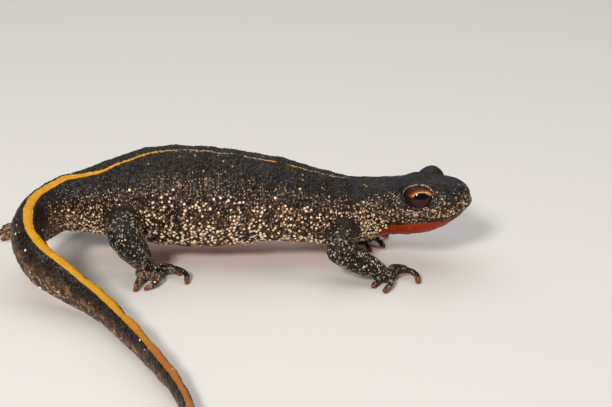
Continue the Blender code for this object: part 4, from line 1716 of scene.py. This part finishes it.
class NewtHide:
    """The newt's skin: its ground, belly, stripe and speckles, laid over one another."""

    def __init__(self, tones: HideTones) -> None:
        """Start the material and read what its colours depend on.

        Args:
            tones: The colours and the gloss.
        """
        self.tones = tones
        self.graph = Graph("moist_granular_skin")
        self.where = self.graph.spot()
        self.place, self.rise, self.head, self.limb, self.throat, self.granule = (
            self.graph.attribute(name)
            for name in ("place", "rise", "head", "limb", "throat", "granule")
        )
        self.colour: Signal | Tone = tones.slate

    def lay(self, share: "Signal | float", colour: "Signal | Tone") -> None:
        """Lay a colour over what is there."""
        self.colour = self.graph.mix(share, self.colour, colour)

    def noise(self, size: float, detail: float = 3.0, rough: float = 0.55) -> Signal:
        """Read soft noise all over the skin."""
        return self.graph.noise(self.where, size, detail, rough)

    def add_ground(self) -> None:
        """Mix the dark ground of back and flanks with its blotches and granules, painting shade
        between the granules and on the lower flank and highlights on the granules' tops.
        """
        g, tones = self.graph, self.tones
        level = self.rise.either(self.limb * 0.5) + (self.noise(3.2) - 0.5) * 0.6
        self.lay(level.between(0.8, 0.2), tones.umber)
        warm = g.noise(g.vector("ADD", self.where, (9.0, 4.0, 2.0)), 1.5).between(0.52, 0.66)
        self.lay(warm * level.between(0.5, 0.0) * 0.6, tones.russet)
        self.lay(g.cells(g.warp(self.where, 0.5, 2.4), 5.2).between(0.42, 0.26) * 0.7, tones.ink_and_shade)
        fine = self.noise(0.5, 2.0)
        # painted shade: near-black in the gaps between the granules, with random dark mottling
        # from the fine noise
        gap = self.granule.between(0.5, 0.1)
        self.lay(gap.either(fine.between(0.5, 0.3) * 0.6) * 0.8, tones.ink_and_shade)
        # painted shade: the lower flank is darkened toward near-black
        low = self.rise.between(-0.2, -0.6) * self.place.between(11.5, 10.5)
        self.lay(low * (1 - self.head) * 0.6, tones.ink_and_shade)
        # painted highlights on the granules' tops, halved on the limbs and the shaded lower
        # flank, with a grey painted sheen on the head's top
        painted_highlight = self.granule.between(0.6, 1.0) * fine.between(0.42, 0.6)
        painted_highlight = painted_highlight * (1 - self.limb.either(low) * 0.5)
        top = self.head * self.rise.between(0.0, 0.5)
        self.lay(painted_highlight * 0.75, g.mix(top, tones.granule, tones.head_top_sheen))

    def add_tail_band(self) -> None:
        """Run the pale speckled band and the orange edge along the tail's lower side."""
        tail = self.place.between(10.8, 12.2)
        edge = (self.noise(1.4) - 0.5) * 0.7
        band = (self.rise + edge).between(0.5, 0.0) * tail
        self.lay(band * 0.7, self.tones.tan)
        self.lay(band * self.noise(1.3, 5.0, 0.72).between(0.5, 0.6) * 0.9, self.tones.sand)
        keel = (self.graph.attribute("keel") + edge).between(0.9, 0.4)
        self.lay(keel * self.place.between(19.5, 16.5) * tail, self.tones.belly)

    def add_underside(self) -> None:
        """Lay the orange belly with its black blotches, the throat and the soles."""
        g, tones = self.graph, self.tones
        edge = (self.noise(1.6) - 0.5) * 0.35
        low = (self.rise + edge).between(-0.76, -0.86)
        trunk = self.place.between(11.6, 10.8) * (1 - self.limb.between(0.3, 0.7))
        blot = g.cells(g.vector("ADD", self.where, (3.0, 1.0, 0.0)), 3.6).between(0.36, 0.27)
        orange = g.mix(self.throat, tones.belly, tones.throat)
        orange = g.mix(self.noise(1.0).between(0.5, 0.3) * 0.5, orange, tones.rust)
        spotted = g.mix(blot * (1 - self.throat), orange, tones.ink_and_shade)
        self.lay((low * trunk).either(self.throat), spotted)
        palm = g.attribute("sole") * self.noise(0.9).between(0.38, 0.6)
        self.lay(palm * 0.8, tones.toe)

    def add_stripe(self) -> None:
        """Run the stripe down the back and along the tail's upper edge."""
        g, place = self.graph, self.place
        bone, gold, ochre = self.tones.bone, self.tones.gold, self.tones.ochre
        wobble = (self.noise(0.7, 2.0) - 0.5) * 0.3
        width = place.between(6.5, 9.5) * 0.16 + place.between(9.0, 13.4) * 0.5 + 0.12
        width = width - place.between(19.0, 26.0) * 0.3
        inside = (width + wobble - g.attribute("crest")).between(-0.1, 0.02)
        gaps = g.noise(g.vector("MULTIPLY", self.where, (1.0, 0.2, 0.2)), 2.6, 1.0)
        whole = place.between(7.4, 8.8).either(gaps.between(0.3, 0.36))
        tint = g.ramp(place * (1 / 26.0), (
            (0.10, bone), (0.16, bone), (0.175, gold), (0.2, gold), (0.215, bone),
            (0.27, bone), (0.33, gold), (0.79, gold), (0.88, ochre),
        ))
        lit = self.noise(1.2, 2.0).between(0.45, 0.65)
        lit = lit * place.between(20.0, 17.0) * place.between(7.0, 9.0)
        lit_tint = g.mix(lit * 0.8, tint, self.tones.lemon)
        self.lay(inside * whole * place.between(2.2, 3.0), lit_tint)

    def add_speckles(self) -> None:
        """Whiten the pale granules and the tips of the warts."""
        g, tones = self.graph, self.tones
        patchy = self.noise(0.55, 2.0).between(0.38, 0.62)
        warm = self.place.between(3.6, 1.8) * (1 - self.head.between(0.2, 0.9))
        warm = warm * (1 - self.limb)
        flank = self.place.between(3.4, 4.6) * self.place.between(10.0, 8.6)
        speck = g.mix(flank, g.mix(warm, tones.fawn, tones.honey), tones.clay)
        speck = g.mix(self.limb, speck, tones.ash)
        self.lay(g.attribute("speck").between(0.42, 0.62) * (0.25 + patchy * 0.75), speck)
        dull = g.mix(self.noise(0.9).between(0.4, 0.6) * self.head, speck, tones.clay)
        drawn = g.vector("MULTIPLY", self.where, (1.15, 1.0, 0.85))
        self.lay(g.dots(drawn, 0.34, 0.42, g.attribute("dust")), dull)
        warped = g.warp(self.where, 1.4, 0.9)
        self.lay(g.dots(warped, 0.5, 0.48, g.attribute("lips") * 0.62), tones.fawn)
        rim = g.attribute("rim").between(0.3, 0.8) * self.noise(0.35).between(0.4, 0.6)
        self.lay(rim * 0.6, tones.fawn)
        wart = g.attribute("wart")
        tip = ((0.0, tones.tan), (0.4, tones.fawn), (0.65, tones.cream), (1.0, tones.cream))
        self.lay(wart.between(0.05, 0.5), g.ramp(wart, tip))

    def dress(self, skin: bpy.types.Object) -> None:
        """Lay all colours, set the gloss and put the material on the skin.

        Args:
            skin: The skin.
        """
        g, tones = self.graph, self.tones
        self.add_ground()
        self.add_tail_band()
        self.add_underside()
        self.add_stripe()
        self.add_speckles()
        out = g.attribute("out") + (self.noise(0.7) - 0.5) * 0.12
        self.lay(out.between(1.86, 1.98) * self.limb.between(0.5, 0.9) * 0.75, tones.toe)
        # painted shade: near-black in the mouth slit and the nostril pits
        self.lay(g.attribute("crease_shade") * 0.9, tones.ink_and_shade)
        dry = self.noise(2.0).between(0.3, 0.7) * (tones.dry_roughness - tones.wet_roughness)
        grain = g.cells(self.where, tones.grain_size).between(0.75, 0.0)
        pores = self.noise(tones.pore_size, 2.0)
        g.dress(skin, {
            "Base Color": self.colour,
            "Roughness": tones.wet_roughness + dry,
            "Specular IOR Level": tones.specular,
            "Coat Weight": (1 - self.throat * 0.8) * tones.coat,
            "Coat Roughness": tones.coat_roughness,
            "Normal": g.bump((grain, tones.grain_depth), (pores, tones.pore_depth)),
        })


@dataclass(frozen=True)
class NewtEye:
    """The copper iris round a dark pupil, under a wet cornea."""

    copper: Tone = tone(150, 70, 28)
    gold: Tone = tone(222, 164, 92)
    umber: Tone = tone(58, 24, 16)
    brown: Tone = tone(36, 17, 11)
    pupil: Tone = tone(6, 6, 7)
    roughness: float = 0.3
    coat: float = 0.5
    coat_roughness: float = 0.03

    def dress(self, eye: bpy.types.Object) -> None:
        """Put the eye's material on it.

        Args:
            eye: The eyeball, whose numbers tell how far forward and upward each vertex lies.
        """
        g = Graph("wet_eye")
        where = g.spot()
        x, y = g.attribute("forward"), g.attribute("upward")
        out = g.math("SQRT", x * x + y * y)
        veins = g.noise(where, 0.22, 3.0)
        streak = (veins - 0.5) * 0.45
        ring = g.math("SQRT", x * x * 0.36 + y * y * 1.45)
        upper = (y + streak * 0.4).between(-0.05, 0.1)
        iris = g.mix(upper, self.brown, self.umber)
        iris = g.mix(upper * (ring + streak).between(0.62, 0.44), iris, self.copper)
        iris = g.mix(veins.between(0.6, 0.4) * 0.4, iris, self.umber)
        iris = g.mix(upper * (ring + streak * 0.5).between(0.44, 0.34) * 0.9, iris, self.gold)
        dark = (ring + (veins - 0.5) * 0.06).between(0.33, 0.29)
        iris = g.mix(dark.either(out.between(1.12, 1.24)), iris, self.pupil)
        g.dress(eye, {
            "Base Color": iris,
            "Roughness": self.roughness,
            "Specular IOR Level": 0.0,
            "Coat Weight": self.coat,
            "Coat Roughness": self.coat_roughness,
        })


@dataclass
class Eyeball:
    """One wet eye between its lids."""

    head: Head
    socket: EyeSocket
    side: Side
    gaze: tuple[float, float] = (0.3, 0.06)  # how far the pupil looks forward and up
    sides: int = 64

    def build(self) -> bpy.types.Object:
        """Make the eyeball, facing out of its socket.

        Returns:
            The eyeball, in metres in the model's frame.
        """
        mirror = np.array((1.0, self.side.value, 1.0))
        axes = self.socket.axes() * mirror @ self.head.turn.T
        centre = self.head.to_world(np.asarray(self.socket.centre) * mirror)
        shell = Shell()
        shell.add_ball(centre, axes * self.socket.radius, self.sides)
        eye = shell.to_object(f"eyeball_{self.side.name.lower()}")
        points = read_points(eye.data)
        seen = (points - centre) @ axes.T / self.socket.radius
        write_field(eye.data, "forward", seen[:, 0] - self.gaze[0])
        write_field(eye.data, "upward", seen[:, 1] - self.gaze[1])
        write_points(eye.data, (points - ORIGIN) * MM)
        shape = bmesh.new()
        shape.from_mesh(eye.data)
        bmesh.ops.recalc_face_normals(shape, faces=shape.faces)
        shape.to_mesh(eye.data)
        shape.free()
        eye.data.shade_smooth()
        return eye


class Lamp(NamedTuple):
    """A soft square light: where it hangs and its side in metres, its watts and its colour."""

    name: str
    place: tuple[float, float, float]
    size: float
    power: float
    colour: Tone


@dataclass
class Studio:
    """The camera at the photograph's angle, a pale floor and soft lights."""

    target: tuple[float, float, float] = (15.2, 22.95, 9.8)
    distance: float = 189.0
    down: float = 22.0
    focal_pixels: float = 1060.0
    sensor: float = 36.0
    floor_half: float = 1.5
    floor_tone: Tone = tone(226, 224, 220)
    floor_roughness: float = 0.6
    sky: Tone = (0.92, 0.95, 1.0)
    sky_strength: float = 0.22
    lamps: tuple[Lamp, ...] = (
        Lamp("overhead", (-0.05, 0.2, 0.6), 0.9, 2.5, (1.0, 0.97, 0.93)),
        Lamp("front", (-0.2, -0.5, 0.42), 0.12, 3.6, (1.0, 0.95, 0.88)),
        Lamp("side", (0.6, -0.1, 0.3), 0.2, 0.8, (1.0, 0.97, 0.92)),
    )

    def build(self) -> None:
        """Set up the camera, the floor and the lights."""
        self.place_camera()
        self.lay_floor()
        bpy.context.scene.view_settings.view_transform = "Standard"
        for lamp in self.lamps:
            self.hang(lamp)
        world = bpy.data.worlds.new("studio")
        bpy.context.scene.world = world
        world.use_nodes = True
        back = world.node_tree.nodes["Background"]
        back.inputs["Color"].default_value = (*self.sky, 1.0)
        back.inputs["Strength"].default_value = self.sky_strength

    def place_camera(self) -> None:
        """Point the camera at the newt as the photograph does."""
        tilt = math.radians(self.down)
        away = Vector((0.0, -math.cos(tilt), math.sin(tilt))) * self.distance
        lens = bpy.data.cameras.new("camera")
        lens.sensor_fit = "HORIZONTAL"
        lens.sensor_width = self.sensor
        lens.lens = self.focal_pixels / PHOTO_WIDTH * self.sensor
        lens.clip_start = 0.001
        camera = add_object("camera", lens)
        camera.location = (Vector(self.target) + away) * MM
        camera.rotation_euler = (math.radians(90 - self.down), 0.0, 0.0)
        bpy.context.scene.camera = camera

    def lay_floor(self) -> None:
        """Lay the pale floor."""
        half = self.floor_half
        corners = [(-half, -half, 0.0), (half, -half, 0.0), (half, half, 0.0), (-half, half, 0.0)]
        mesh = bpy.data.meshes.new("floor")
        mesh.from_pydata(corners, [], [(0, 1, 2, 3)])
        floor = add_object("floor", mesh)
        sockets = {"Base Color": self.floor_tone, "Roughness": self.floor_roughness}
        Graph("pale_floor").dress(floor, sockets)

    def hang(self, lamp: Lamp) -> None:
        """Hang a light that faces the newt.

        Args:
            lamp: What it is.
        """
        light = bpy.data.lights.new(lamp.name, "AREA")
        light.size = lamp.size
        light.energy = lamp.power
        light.color = lamp.colour
        thing = add_object(lamp.name, light)
        thing.location = lamp.place
        aim = Vector((0.0, 0.0, 0.01)) - Vector(lamp.place)
        thing.rotation_euler = aim.to_track_quat("-Z", "Y").to_euler()


FLESH = (
    "head", "neck", "torso", "pelvis", "tail_base", "tail_bend", "tail_middle", "tail_end",
    "tail_tip", "upper_arm_right", "forearm_right", "hand_right", "thigh_right", "shank_right",
    "foot_right", "upper_arm_left", "forearm_left", "hand_left", "thigh_left", "shank_left",
    "foot_left",
)


def main() -> None:
    """Load the frame and build the studio, the skin and the eyes over it."""
    logging.basicConfig(level=logging.INFO, format="%(message)s")
    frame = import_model()
    log.info("frame of %d solids", len(frame["nodes"]))
    Studio().build()
    head, socket = Head(), EyeSocket()
    detail = FINE
    skin = Skin(Trunk(), head, newt_limbs(), socket, detail).build()
    NewtHide(HideTones()).dress(skin)
    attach(skin, "root")
    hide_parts(*FLESH)
    log.info("skin of %d faces", len(skin.data.polygons))
    for side in Side:
        eye = Eyeball(head, socket, side).build()
        NewtEye().dress(eye)
        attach(eye, "root")
        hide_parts(f"eye_{side.name.lower()}")
        log.info("%s of %d faces", eye.name, len(eye.data.polygons))


if __name__ == "__main__":
    main()
